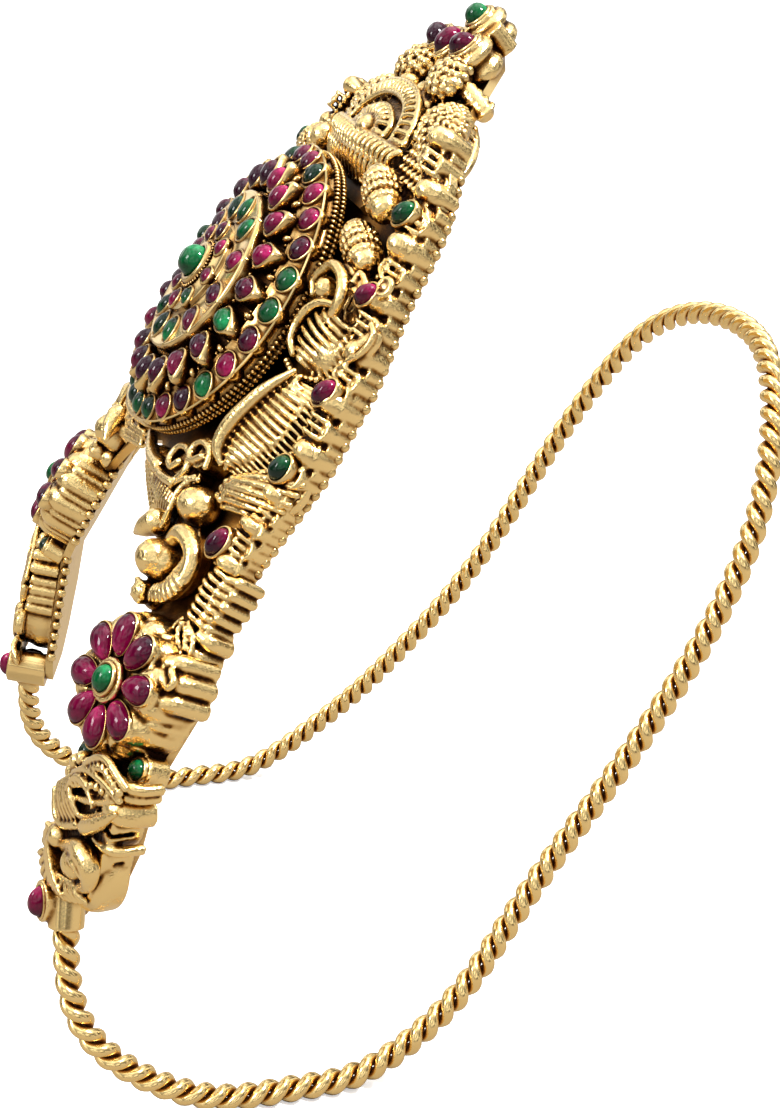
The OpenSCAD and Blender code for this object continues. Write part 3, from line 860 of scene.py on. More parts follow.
class Bench:
    """Puts finished meshes into the scene as pieces of the object."""

    def __init__(self, frame: dict) -> None:
        """Keeps the CAD frame."""
        self.frame = frame

    def cad_shape(self, node: str, sink: float = 0) -> Shape:
        """A CAD node's own mesh, as a closed shape in millimetres.

        Args:
            node: The node's name.
            sink: How far it is moved back into the front.

        Returns:
            The shape.
        """
        bm = bmesh.new()
        bm.from_mesh(self.frame["nodes"][node].data)
        bmesh.ops.remove_doubles(bm, verts=bm.verts, dist=1e-6)
        out = np.array(ON_FRONT.to_3x3().col[2])
        shape = Shape()
        shape.add(
            np.array([v.co for v in bm.verts]) / METRE - out * sink,
            [[v.index for v in f.verts] for f in bm.faces],
        )
        bm.free()
        return shape

    def put(self, meshes: Sequence[bpy.types.Mesh], name: str, slot: Slot, nodes: Sequence[str]) -> None:
        """Joins meshes into one piece.

        Args:
            meshes: Meshes in millimetres.
            name: The piece's name.
            slot: Its material slot in the CAD record; not used.
            nodes: The CAD nodes that it stands for.
        """
        bm = bmesh.new()
        materials = []
        for mesh in meshes:
            own = mesh.materials[0]
            if own not in materials:
                materials.append(own)
            first = len(bm.faces)
            bm.from_mesh(mesh)
            bm.faces.ensure_lookup_table()
            for face in bm.faces[first:]:
                face.material_index = materials.index(own)
        joined = bpy.data.meshes.new(name)
        bm.to_mesh(joined)
        bm.free()
        for material in materials:
            joined.materials.append(material)
        joined.transform(Matrix.Scale(METRE, 4))
        piece = bpy.data.objects.new(name, joined)
        bpy.context.scene.collection.objects.link(piece)
        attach(piece, "root")
        if nodes:
            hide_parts(*nodes)
        log.info("%s: %d faces", name, len(joined.polygons))

    def put_both(self, meshes: Sequence[bpy.types.Mesh], name: str, slot: Slot,
                 nodes: Sequence[str]) -> None:
        """Puts a right-hand piece and its mirror image.

        Args:
            meshes: Meshes of the right-hand one, in millimetres.
            name: The piece's name without its side.
            slot: Its material slot in the CAD record; passed on to put, which does not use it.
            nodes: The CAD nodes that it stands for, without their side.
        """
        self.put(meshes, f"right_{name}", slot, [f"right_{n}" for n in nodes])
        flipped = []
        for mesh in meshes:
            other = mesh.copy()
            other.transform(Matrix.Scale(-1, 4, (1, 0, 0)))
            other.flip_normals()
            flipped.append(other)
        self.put(flipped, f"left_{name}", slot, [f"left_{n}" for n in nodes])


# What every sub-assembly is made with


class Workshop:
    """The finishes, the tools, the bench and one source of chance."""

    def __init__(self, frame: dict) -> None:
        """Gets everything ready.

        Args:
            frame: The CAD frame.
        """
        self.finishes = Finishes()
        self.tools = Tools()
        self.bench = Bench(frame)
        self.random = np.random.default_rng(7)

    def shades(self, count: int, least: float) -> np.ndarray:
        """A brightness for each of some stones, none below the least."""
        return self.random.uniform(least, 1, count)

    def rims(self, rim: Shape, frames: Sequence[Matrix]) -> bpy.types.Mesh:
        """Equal rims in smooth gold."""
        return self.tools.scatter("rims", rim, frames, self.finishes.smooth)

    def stones(self, name: str, slot: Slot, groups: Sequence[tuple[Shape, Sequence[Matrix]]],
               both: bool = False, least: float = 0) -> None:
        """Sets groups of equal stones as one piece, which stands for the CAD node of its name.

        Args:
            name: The piece's name.
            slot: Ruby or emerald.
            groups: Stones' shapes and their frames.
            both: Whether its mirror image is set as well.
            least: Brightness of the darkest stone.
        """
        finish = self.finishes.ruby if slot is Slot.RUBY else self.finishes.emerald
        meshes = [
            self.tools.scatter(name, shape, frames, finish, self.shades(len(frames), least))
            for shape, frames in groups
            if frames
        ]
        (self.bench.put_both if both else self.bench.put)(meshes, name, slot, [name])


# The rope

ROUTE_HALF = [
    (24.5, -39, 34.5), (28, -41, 25), (31, -42, 15), (33, -38.5, 8), (34, -27.5, 0.7),
    (34, -18.5, 1.8), (34, -11, 0.6), (33.5, -0.5, 8.2), (31, 5, 14), (29, 11, 21.5),
    (28, 17, 28.5), (27.5, 23, 37), (27.5, 27.5, 44.5), (26.5, 32.5, 53.5), (23.5, 36.5, 61.5),
    (18, 39.5, 69), (9.5, 42.5, 73.5), (0, 44, 74),
]


@dataclass(frozen=True)
class Rope:
    """Two round strands laid round each other along the route."""

    shop: Workshop
    thickness: float = 2.9
    pitch: float = 4.7
    gap: float = 0.1
    steps: int = 12
    rings_a_turn: int = 22
    easings: int = 22
    sides: int = 14

    def build(self) -> None:
        """Builds both strands."""
        route = self.route()
        for name, phase in (("strand_a", 0), ("strand_b", 180)):
            mesh = self.shop.tools.plain(self.strand(route, phase), name, self.shop.finishes.rope)
            self.shop.bench.put([mesh], name, Slot.ROPE, [name])

    def route(self) -> np.ndarray:
        """The rope's middle line: a smooth curve led by the route's points.

        Returns:
            Points along it, one row each.
        """
        half = np.array(ROUTE_HALF)
        c = np.vstack([half, half[-2::-1] * [-1, 1, 1]])
        t = np.linspace(0, 1, self.steps, endpoint=False)[:, None]
        weights = [(1 - t) ** 3, 3 * t**3 - 6 * t**2 + 4, -3 * t**3 + 3 * t**2 + 3 * t + 1, t**3]
        spans = [sum(w * c[i + k] for k, w in enumerate(weights)) / 6 for i in range(len(c) - 3)]
        end = (c[-3] + 4 * c[-2] + c[-1]) / 6
        return np.vstack([*spans, end])

    def strand(self, route: np.ndarray, phase: float) -> Shape:
        """One strand.

        Args:
            route: Points of the rope's middle line.
            phase: Angle in degrees at which the strand starts.

        Returns:
            The strand.
        """
        turns = run_lengths(route)[-1] / self.pitch
        count = round(turns * self.rings_a_turn)
        line = spaced(route, np.linspace(0, 1, count))
        for _ in range(self.easings):
            line[1:-1] = (line[:-2] + 2 * line[1:-1] + line[2:]) / 4
        t = np.gradient(line, axis=0)
        t /= np.linalg.norm(t, axis=1)[:, None]
        n = np.cross(t[0], [0, 1, 0])
        centres = []
        for i, (p, ahead) in enumerate(zip(line, t)):
            n = n - n.dot(ahead) * ahead
            n /= np.linalg.norm(n)
            w = math.radians(phase) - 2 * math.pi * turns * i / (count - 1)
            away = math.cos(w) * n + math.sin(w) * np.cross(ahead, n)
            centres.append(p + (self.thickness + self.gap) / 4 * away)
        shape = Shape()
        r = (self.thickness - self.gap) / 4
        shape.tube(np.array(centres), np.full(count, r), self.sides, blunt=False)
        return shape


# Carving: the castings' details, drawn on a place

THIN_BAR = 0.7
BEAD_SIDES, SCALE_SIDES, RIB_SIDES = 8, 7, 7
RIB_POINTS, RING_POINTS, SLAB_POINTS = 6, 15, 16


class Carving:
    """A casting's shape, drawn in a place's own coordinates."""

    def __init__(self, place: Place, shape: Shape) -> None:
        """Keeps the place and the shape that is added to."""
        self.place = place
        self.shape = shape

    def bar(self, path: Path, *radii: float) -> None:
        """A round bar.

        Args:
            path: Points it passes through.
            radii: Radii it runs through, evenly spaced.
        """
        p = smooth_path(path)
        r = np.interp(np.linspace(0, 1, len(p)), np.linspace(0, 1, len(radii)), radii)
        self.shape.tube(self.place.points(p), r, 8 if max(radii) < THIN_BAR else 16)

    def dome(self, x: float, y: float, h: float, radii: Point, turn: float = 0) -> None:
        """An egg-shaped lump.

        Args:
            x: Where it lies.
            y: Where it lies.
            h: Height of its middle.
            radii: Its three radii.
            turn: Its turn in the place, in degrees.
        """
        lump = Shape()
        lump.ball(np.zeros(3), np.array(radii), 20)
        self.shape.add(Place(self.place.at(x, y, h, turn)).points(lump.vertices[0]), lump.faces)

    def studded(self, x: float, y: float, h: float, radii: Point, turn: float, r: float,
                rows: int) -> None:
        """An egg-shaped lump with rounds all over its upper side.

        Args:
            x: Where it lies.
            y: Where it lies.
            h: Height of its middle.
            radii: Its three radii.
            turn: Its turn in the place, in degrees.
            r: Radius of the rounds.
            rows: Rows of rounds from its top to its widest line.
        """
        self.dome(x, y, h, radii, turn)
        frame = Place(self.place.at(x, y, h, turn))
        for k in range(rows):
            tilt = math.radians(8 + 78 * k / (rows - 1))
            count = max(1, round(math.tau * math.sin(tilt) * (radii[0] + radii[1]) / 2 / (1.9 * r)))
            for i in range(count):
                w = math.tau * (i + k * 0.5) / count
                way = [math.sin(tilt) * math.cos(w), math.sin(tilt) * math.sin(w), math.cos(tilt)]
                spot = frame.points(np.array([radii]) * way)[0]
                self.shape.ball(spot, r * (0.85 + 0.06 * (i * 3 % 5)), BEAD_SIDES)

    def turned_body(self, x: float, y: float, profile: Sequence[tuple[float, float]]) -> None:
        """A round body.

        Args:
            x: Where it stands.
            y: Where it stands.
            profile: Its radii and heights, from the bottom's middle to the top's.
        """
        body = Shape()
        body.revolve(profile, 64)
        self.shape.add(Place(self.place.at(x, y)).points(body.vertices[0]), body.faces)

    def seated(self, floor: float) -> None:
        """Flattens whatever lies below a height.

        Args:
            floor: The height.
        """
        for i, points in enumerate(self.shape.vertices):
            local = self.place.local(points)
            local[:, 2] = np.maximum(local[:, 2], floor)
            self.shape.vertices[i] = self.place.points(local)

    def slab(self, *paths: Path, drop: float = 0.2, depth: float = 1.6) -> None:
        """A filling under the surface between paths that run side by side.

        Args:
            paths: The paths, from one side to the other.
            drop: How far below the paths its top lies.
            depth: Its thickness.
        """
        t = np.linspace(0, 1, SLAB_POINTS)
        top = np.array([along(path, t) for path in paths]) - [0, 0, drop]
        rings = np.concatenate([top, top[::-1] - [0, 0, depth]]).transpose(1, 0, 2)
        side = np.cross(rings[1, 0] - rings[0, 0], rings[0, 1] - rings[0, 0])
        rings = rings if side[2] < 0 else rings[:, ::-1]
        flat = self.place.points(rings.reshape(-1, 3))
        self.shape.loft(flat.reshape(rings.shape))

    def bead(self, x: float, y: float, h: float, r: float) -> None:
        """A ball at a point."""
        self.shape.ball(self.place.points(np.array([[x, y, h]]))[0], r)

    def beads(self, path: Path, count: int, r: float) -> None:
        """Balls along a path.

        Args:
            path: Points the path passes through.
            count: How many balls.
            r: Their radius.
        """
        for p in self.place.points(along(path, np.linspace(0, 1, count))):
            self.shape.ball(p, r, BEAD_SIDES)

    def ribs(self, start: Path, end: Path, count: int, r: float, arch: float = 0.3,
             taper: float = 1) -> None:
        """Bars across the space between two paths.

        Args:
            start: Path along one side.
            end: Path along the other side.
            count: How many bars.
            r: Their radius.
            arch: How far their middles rise.
            taper: Share of the radius left at the far end.
        """
        t = np.linspace(0, 1, count)
        k = np.linspace(0, 1, RIB_POINTS)[:, None]
        rise = np.sin(math.pi * k) * [0, 0, arch]
        radii = np.linspace(r, r * taper, RIB_POINTS)
        for a, b in zip(along(start, t), along(end, t)):
            self.shape.tube(self.place.points(a * (1 - k) + b * k + rise), radii, RIB_SIDES)

    def scales(self, start: Path, end: Path, rows: int, columns: int, r: float) -> None:
        """Staggered rows of rounds between two paths.

        Args:
            start: Path along one side.
            end: Path along the other side.
            rows: How many rows.
            columns: Rounds in a row.
            r: Their radius.
        """
        for i in range(rows):
            k = i / max(1, rows - 1)
            t = (np.arange(columns) + (0.5 if i % 2 else 0)) / columns
            row = along(start, t) * (1 - k) + along(end, t) * k
            for p in self.place.points(row):
                self.shape.ball(p, r, SCALE_SIDES)

    def ring(self, x: float, y: float, h: float, r: float, bar: float) -> None:
        """A ring.

        Args:
            x: Where its middle lies.
            y: Where its middle lies.
            h: Height of its middle.
            r: Its radius.
            bar: Radius of the bar that it is bent from.
        """
        w = np.linspace(0, 2 * math.pi, RING_POINTS)
        path = np.column_stack([x + r * np.cos(w), y + r * np.sin(w), np.full(RING_POINTS, h)])
        self.shape.tube(self.place.points(path), np.full(RING_POINTS, bar))


# Castings

CREST_SEAT = -1.94
FOOT_SEAT = -4.94


@dataclass(frozen=True)
class Casting:
    """A fused casting, of the right half and mirrored unless it is a single one."""

    shop: Workshop
    name: str = ""
    place: Place = CURVE
    floor: float | None = SEAT
    sink: float | None = None
    voxel: float = 0.13
    both: bool = True

    def carve(self, c: Carving) -> None:
        """Draws the casting, each kind in its own way."""
        raise NotImplementedError

    def build(self) -> None:
        """Carves the casting, over the CAD model's own shape if it has a sink, and fuses it."""
        shape = Shape()
        if self.sink is not None:
            shape = self.shop.bench.cad_shape(f"right_{self.name}", self.sink)
        carving = Carving(self.place, shape)
        self.carve(carving)
        if self.floor is not None:
            carving.seated(self.floor)
        mesh = self.shop.tools.cast(shape, self.name, self.shop.finishes.cast, self.voxel)
        put = self.shop.bench.put_both if self.both else self.shop.bench.put
        put([mesh], self.name, Slot.CAST, [self.name])


@dataclass(frozen=True)
class Peacock(Casting):
    """The bird at the rosette's side: hood, head, beak and ribbed breast."""

    name: str = "peacock"

    def carve(self, c: Carving) -> None:
        """Carves the bird.

        Args:
            c: The casting.
        """
        c.dome(21.6, 7.4, -3.4, (3, 2.6, 1.2))
        c.dome(22.2, 2.9, -3, (3.6, 3.5, 1.9), -14)
        c.bar([(17.6, 5.8, -0.8), (16.7, 6.9, -0.5), (17.5, 8.2, -0.2), (18.9, 9.3, 0), (21, 9.2, 0),
               (22.6, 8.3, 0), (23.2, 7.1, -0.2), (23, 5.8, -0.6)], 0.45, 0.65, 0.6)
        c.bead(19, 7, -0.9, 1.3)
        c.bar([(19.3, 9.7, -0.9), (20.4, 10, -1), (21.5, 9.6, -1.2)], 0.45)
        c.dome(23.2, 9.3, -1.6, (1, 1.2, 0.8))
        c.bar([(22.4, 9.3, -0.8), (22.1, 10.3, -1), (23.2, 10.2, -1.1), (24.3, 9.5, -1.2), (24.4, 8.7, -1),
               (23.2, 8.7, -0.8)], 0.34)
        c.scales([(23.6, 7.6, -1.9), (25.6, 7, -2.3)], [(23.4, 6, -2), (25.4, 5.8, -2.4)], 4, 5, 0.34)
        c.bar([(22.5, 7.8, -1.6), (22.9, 6.6, -1.6), (24, 5.6, -1.8), (25.3, 5.7, -2), (25.3, 7, -2),
               (23.9, 8.2, -1.8)], 0.3)
        c.bar([(22, 6.4, -0.8), (20, 5.7, -0.7), (18.7, 4.4, -0.7), (18.1, 2.6, -0.9), (18.7, 0.9, -1.1),
               (20.1, 0, -1.4)], 0.4, 0.6, 0.4)
        c.ribs([(21.8, 5.7, -1.1), (20.1, 4.6, -1), (19.3, 2.8, -1.1), (19.7, 1.2, -1.4),
                (20.9, 0.2, -1.7)], [(24.4, 5.4, -1.8), (24.6, 3.8, -1.7), (24.2, 2, -1.8), (23, 0, -2.1)],
               8, 0.31, 0.7)
        c.ribs([(24.6, 5.4, -2.1), (24.8, 3.8, -2), (24.4, 2, -2.1), (23.2, 0, -2.3)],
               [(26, 4.8, -3), (26.2, 3.2, -3), (25.8, 1.2, -3), (24.6, -0.6, -3)], 9, 0.24, 0.2)
        c.scales([(26, 5.4, -2.9), (26, 0.2, -3.1)], [(27.6, 5.2, -3.6), (27.8, 0, -3.6)], 3, 8, 0.4)
        c.beads([(19, -1.1, -2), (22, -1.5, -2), (24.8, -0.4, -2.4)], 9, 0.42)


@dataclass(frozen=True)
class Wing(Casting):
    """The bird's wing: a polished rim and fine ribs across it."""

    name: str = "wing"
    rim: Path = ((23.1, -1, -0.8), (21.5, -4, -0.5), (20.3, -7.4, -0.4), (19.8, -10.2, -0.5),
                 (20.2, -12, -0.8), (21.4, -13, -1.3))
    middle: Path = ((24, -1.6, -1.5), (26, -2.6, -1.6), (26.6, -4.2, -1.7), (26.6, -6, -1.7),
                    (26, -7.8, -1.7), (24.6, -10.2, -1.7), (22.4, -12.8, -1.7))
    outer: Path = ((26.8, -1, -3), (28.2, -3.2, -3), (28.4, -5.6, -3), (28, -8, -3), (26.8, -10.6, -3),
                   (24.6, -12.8, -3))

    def carve(self, c: Carving) -> None:
        """Carves the wing.

        Args:
            c: The casting.
        """
        start = [(s + 0.9, u, h - 0.5) for s, u, h in self.rim]
        c.slab(start, self.middle, drop=0.25, depth=4)
        c.slab(self.middle, self.outer, drop=0.3, depth=3)
        c.bar(self.rim, 0.35, 0.8, 0.95, 0.85, 0.35)
        c.ribs(start, self.middle, 17, 0.33, 0.45)
        c.ribs(self.middle, self.outer, 20, 0.22, 0.15, 0.8)


@dataclass(frozen=True)
class Feather(Casting):
    """The plume below the wing: a scaled top edge and long smooth ribs."""

    name: str = "feather"
    starts: Path = ((25.8, -12.2, -1.2), (25.2, -13.4, -1), (24.8, -14.6, -1.3), (25, -15.9, -2))
    ends: Path = ((32.6, -8.6, -2.4), (33, -10, -2.2), (32.6, -11.6, -2.4), (31.2, -13.6, -3))

    def carve(self, c: Carving) -> None:
        """Carves the plume.

        Args:
            c: The casting.
        """
        c.slab(self.starts, self.ends, drop=0.7, depth=4)
        c.dome(24.8, -14, -2.4, (1.7, 2.1, 1.4), -30)
        c.ribs(self.starts, self.ends, 6, 0.4, 0.9, 0.85)
        for k in range(3):
            c.beads([(23.6 + 0.7 * k, -15.4, -1.7 + 0.2 * k), (24.2 + 0.7 * k, -13.6, -1.2 + 0.1 * k),
                     (26.2 + 0.4 * k, -11.8 - 0.3 * k, -1.2)], 6, 0.4)
        c.beads([(26.6, -11.6, -1.2), (29.1, -9.2, -1.6)], 5, 0.45)


EDGE_U = (-28, -24, -18.5, -7, 2.6, 10, 14, 18.7, 25)
EDGE_S = (33.6, 33.6, 32.2, 32.2, 30.3, 27.1, 26, 24.5, 19.8)


def edge_s(u: float) -> float:
    """How far out the front's back edge lies at a height u."""
    return float(np.interp(u, EDGE_U, EDGE_S))


@dataclass(frozen=True)
class Gallery(Casting):
    """The wall along the outer edge: smooth bulges and thin slats by turns."""

    name: str = "gallery"
    floor: float | None = -4.9
    sink: float | None = 1.1
    voxel: float = 0.16
    rows: Path = (
        (25.2, 1.4, 3), (22.8, 1.2, 3.4), (20.4, 1.4, 2.8), (17.4, 1.3, 3), (14.8, 1.5, 3.4),
        (12.2, 1.3, 2.9), (9.4, 1.4, 3), (6.8, 1.3, 3.4), (4.4, 1.5, 2.9), (1.8, 1.3, 3),
        (-0.8, 1.5, 3), (-3.4, 1.3, 3.4), (-6, 1.5, 2.9), (-8.6, 1.5, 3), (-11, 1.1, 3.2),
        (-13, 0.9, 2.6), (-14.8, 0.9, 3.2), (-17, 1.4, 2.9), (-19.2, 1.2, 2.9),
    )
    slats: tuple[float, ...] = (-0.85, 0, 0.85)
    slat_r: float = 0.3

    def carve(self, c: Carving) -> None:
        """Carves the bulges and slats, the wall behind them and a curl at the bird's hood.

        Args:
            c: The casting.
        """
        for i, (u, r, height) in enumerate(self.rows):
            top = SEAT + height
            if i % 2 == 0:
                self.rib(c, u, r * 0.95, top)
            else:
                for step in self.slats:
                    self.rib(c, u + step, self.slat_r, top)
            if i % 4 == 1:
                c.ring(edge_s(u) - 2.2, u, top - 0.4, 0.6, 0.26)
        path = range(26, -21, -5)
        c.slab([(edge_s(u) - 2.8, u, -2) for u in path], [(edge_s(u) - 0.75, u, -1.9) for u in path],
               drop=0, depth=2.8)
        c.beads([(edge_s(u) - 3.1, u, -1.9) for u in range(24, -21, -4)], 52, 0.36)
        c.ring(26.8, 10.8, -1, 0.9, 0.34)
        c.bead(26.8, 10.8, -1, 0.45)
        c.dome(28.8, 5.4, -1.8, (1.2, 2, 0.9), -20)
        c.bar([(28.4, 7.4, -1), (29.6, 6.9, -0.9), (30, 5.8, -0.9), (29.6, 4.4, -1), (28.6, 3.2, -1.2)], 0.34)

    @staticmethod
    def rib(c: Carving, u: float, r: float, top: float) -> None:
        """One rib, over the wall's top and down its outer side.

        Args:
            c: The casting.
            u: Its height up the front.
            r: Its radius.
            top: How far out of the face it reaches.
        """
        s = edge_s(u)
        c.bar([(s - 2.9, u, top - 1.3), (s - 1.9, u, top - r * 0.6), (s - 0.5 - r * 0.6, u, top - 0.9),
               (s - 0.2 - r * 0.5, u, -3), (s - 0.2 - r * 0.5, u, -4.7)], r * 0.5, r * 0.85, r, r)


@dataclass(frozen=True)
class Scrolls(Casting):
    """Open scrolls, the neck and scaled bands below the rosette."""

    name: str = "scrolls"
    sink: float | None = 0.5
    voxel: float = 0.15

    def carve(self, c: Carving) -> None:
        """Carves the scrolls and bands.

        Args:
            c: The casting.
        """
        c.bar([(18.7, -13.9, -0.6), (17.4, -15, -0.7), (16.2, -14.7, -0.7), (16.1, -13.6, -0.8),
               (17.4, -12.8, -0.8), (19.2, -13.1, -0.9), (19.9, -14.4, -1)], 0.42)
        c.bar([(15.6, -16.2, -0.6), (14.6, -17.3, -0.7), (13.2, -16.9, -0.7), (13.2, -15.5, -0.8),
               (14.5, -14.8, -0.8), (16.2, -14.9, -0.8), (17.3, -16.1, -0.8), (16.8, -17.6, -0.9)], 0.45)
        c.bar([(2, -18, -2), (7.2, -18.8, -1.4), (11.2, -18.7, -1.1)], 0.6, 0.9)
        c.bar([(11.4, -19, -1), (14.5, -18.7, -0.8), (16.7, -18.2, -0.7)], 0.55)
        c.scales([(3, -19.4, -2.6), (13, -21.4, -2.4)], [(3, -20.8, -3.2), (13, -23, -3)], 3, 11, 0.5)
        c.ribs([(12.6, -19.4, -1.8), (17.4, -19.2, -1.6)], [(13.4, -22.2, -2.6), (17.6, -21.6, -2.4)],
               7, 0.3)


@dataclass(frozen=True)
class Trunk(Casting):
    """The curled trunk, a bowl, a cone and balls."""

    name: str = "trunk"
    sink: float | None = 0.9
    voxel: float = 0.15

    def carve(self, c: Carving) -> None:
        """Carves the trunk and what lies round it.

        Args:
            c: The casting.
        """
        c.bar([(21.8, -22, -1.6), (23, -20.8, -1.1), (25, -20.4, -0.9), (27.1, -21, -0.9),
               (28.1, -22.8, -1), (27.8, -24.7, -1.1), (26.6, -26.2, -1.4), (24.6, -27.2, -1.8)],
              0.85, 1.05, 1, 0.95, 0.9, 0.7)
        c.ribs([(27, -23.6, -0.4), (26.8, -24.6, -0.5), (25.8, -25.5, -0.8), (24.6, -26.3, -1.2)],
               [(29, -23.8, -0.5), (28.6, -25.4, -0.6), (27.2, -26.8, -0.9), (25, -27.9, -1.4)],
               8, 0.22, 0.3)
        c.bar([(19.6, -15.9, -0.8), (18.9, -18, -0.6), (19.4, -20.2, -0.7), (19.5, -22, -1)], 0.36)
        c.dome(21, -18, -2.4, (2.6, 2.1, 2.3), 20)
        c.beads([(16.4, -18.6, -0.9), (18.4, -16.8, -0.6), (20.4, -15.8, -0.8)], 9, 0.36)
        c.bead(20.8, -25, -1.7, 2.05)
        c.bar([(17.6, -22.4, -1.4), (16.4, -23.8, -1.3), (15, -25.2, -1.5)], 1.5, 1.1, 0.3)
        c.bead(22.4, -28.3, -2, 1.3)
        c.scales([(21.4, -27.6, -1.2), (23.6, -27.4, -1.2)], [(21.4, -29.2, -1.6), (23.6, -29, -1.6)],
                 4, 4, 0.36)


@dataclass(frozen=True)
class Ridges(Casting):
    """A comb of short ribs beside the flower, and a beaded crescent under it."""

    name: str = "ridges"
    floor: float | None = -5.6
    left: Path = ((30.8, -20.2, -1.3), (30.4, -21.8, -1.3), (30.8, -23.4, -1.4), (31, -25.2, -1.6))
    mid: Path = ((32.4, -20.2, -1.8), (32.2, -22, -1.8), (32.6, -23.6, -1.9), (32.4, -25.4, -2.1))
    right: Path = ((33.4, -19.8, -2.6), (33.7, -22.4, -2.6), (33.6, -25.2, -2.7))
    inner: Path = ((30.3, -26.4, -2), (30, -27.6, -2), (30.9, -28.6, -2), (32.6, -28.9, -2.1))
    outer: Path = ((31.4, -26.1, -2), (33, -26.7, -2), (34, -27.6, -2), (34.2, -28.8, -2.1))

    def carve(self, c: Carving) -> None:
        """Carves the comb and the crescent.

        Args:
            c: The casting.
        """
        c.slab(self.left, self.mid, drop=0.1, depth=3)
        c.slab(self.mid, self.right, drop=0.2, depth=2.4)
        c.ribs(self.left, self.mid, 7, 0.33, 0.5, 0.8)
        c.bar(self.mid, 0.3)
        c.ribs(self.mid, self.right, 7, 0.4, 0.2)
        c.ribs(self.right, [(33.8, -19.8, -5), (34.1, -22.4, -5), (34, -25.2, -5)], 5, 0.68, 0)
        c.slab(self.inner, self.outer, drop=0.1, depth=2)
        c.bar(self.inner, 0.3)
        c.bar(self.outer, 0.3)
        c.beads([(30.9, -26.7, -1.8), (31.2, -27.6, -1.8), (32.2, -28.3, -1.8), (33.3, -28.7, -1.9)],
                6, 0.42)
        c.beads([(31.8, -26.7, -1.8), (32.7, -27.4, -1.8), (33.4, -28, -1.8)], 4, 0.4)
        for u in (-26.2, -28, -29.8):
            c.bar([(33.4, u, -2.4), (34.4, u, -3.2), (34.5, u, -6)], 0.6, 0.95, 0.95)


@dataclass(frozen=True)
class CrestBird(Casting):
    """The crest's bird: curled head, scaled body and ribbed wing."""

    name: str = "crest_bird"
    place: Place = CREST
    floor: float | None = -5
    inner: Path = ((12.5, 12, -1.5), (14.2, 10, -1.6), (16, 7.8, -1.8), (16.6, 6, -2.2))
    rim: Path = ((10.8, 12.6, -3.6), (13.2, 11.2, -4.2), (16, 8.7, -4.5), (16.8, 6.2, -4.5))

    def carve(self, c: Carving) -> None:
        """Carves the bird.

        Args:
            c: The casting.
        """
        c.studded(5.8, 14.2, 0.2, (3, 2.4, 1.9), -20, 0.6, 5)
        c.dome(3.4, 11.8, 0, (1.6, 1.4, 1.6))
        c.bar([(4.2, 12, 0.6), (5.4, 10.8, 0.4), (6.6, 10.6, 0)], 0.6, 0.8)
        c.studded(12, 9.4, -1.5, (5.4, 3.2, 2), -14, 0.5, 6)
        c.ribs([(13.6, 8.4, -0.6), (9.4, 6.8, -0.6), (7.6, 8.6, -0.3)],
               [(15.6, 5.4, -2), (11, 4.6, -1.9), (7, 5.6, -1.9)], 9, 0.34, 0.3)
        c.dome(10.4, 6.6, -2, (3.6, 1.9, 1.1), -8)
        c.slab(self.inner, self.rim, drop=0.6, depth=1.2)
        c.bar(self.rim, 0.35, 0.6, 0.35)
        c.bar(self.inner, 0.36)
        c.ribs(self.inner, self.rim, 10, 0.3, 0.45)
        c.bar([(8, 14.6, -1), (10, 14.4, -3.2)], 1.1)
        for k in (0, 1, 2):
            c.ring(8.6 + 0.7 * k, 14.5, -1.7 - 0.7 * k, 1.1, 0.26)


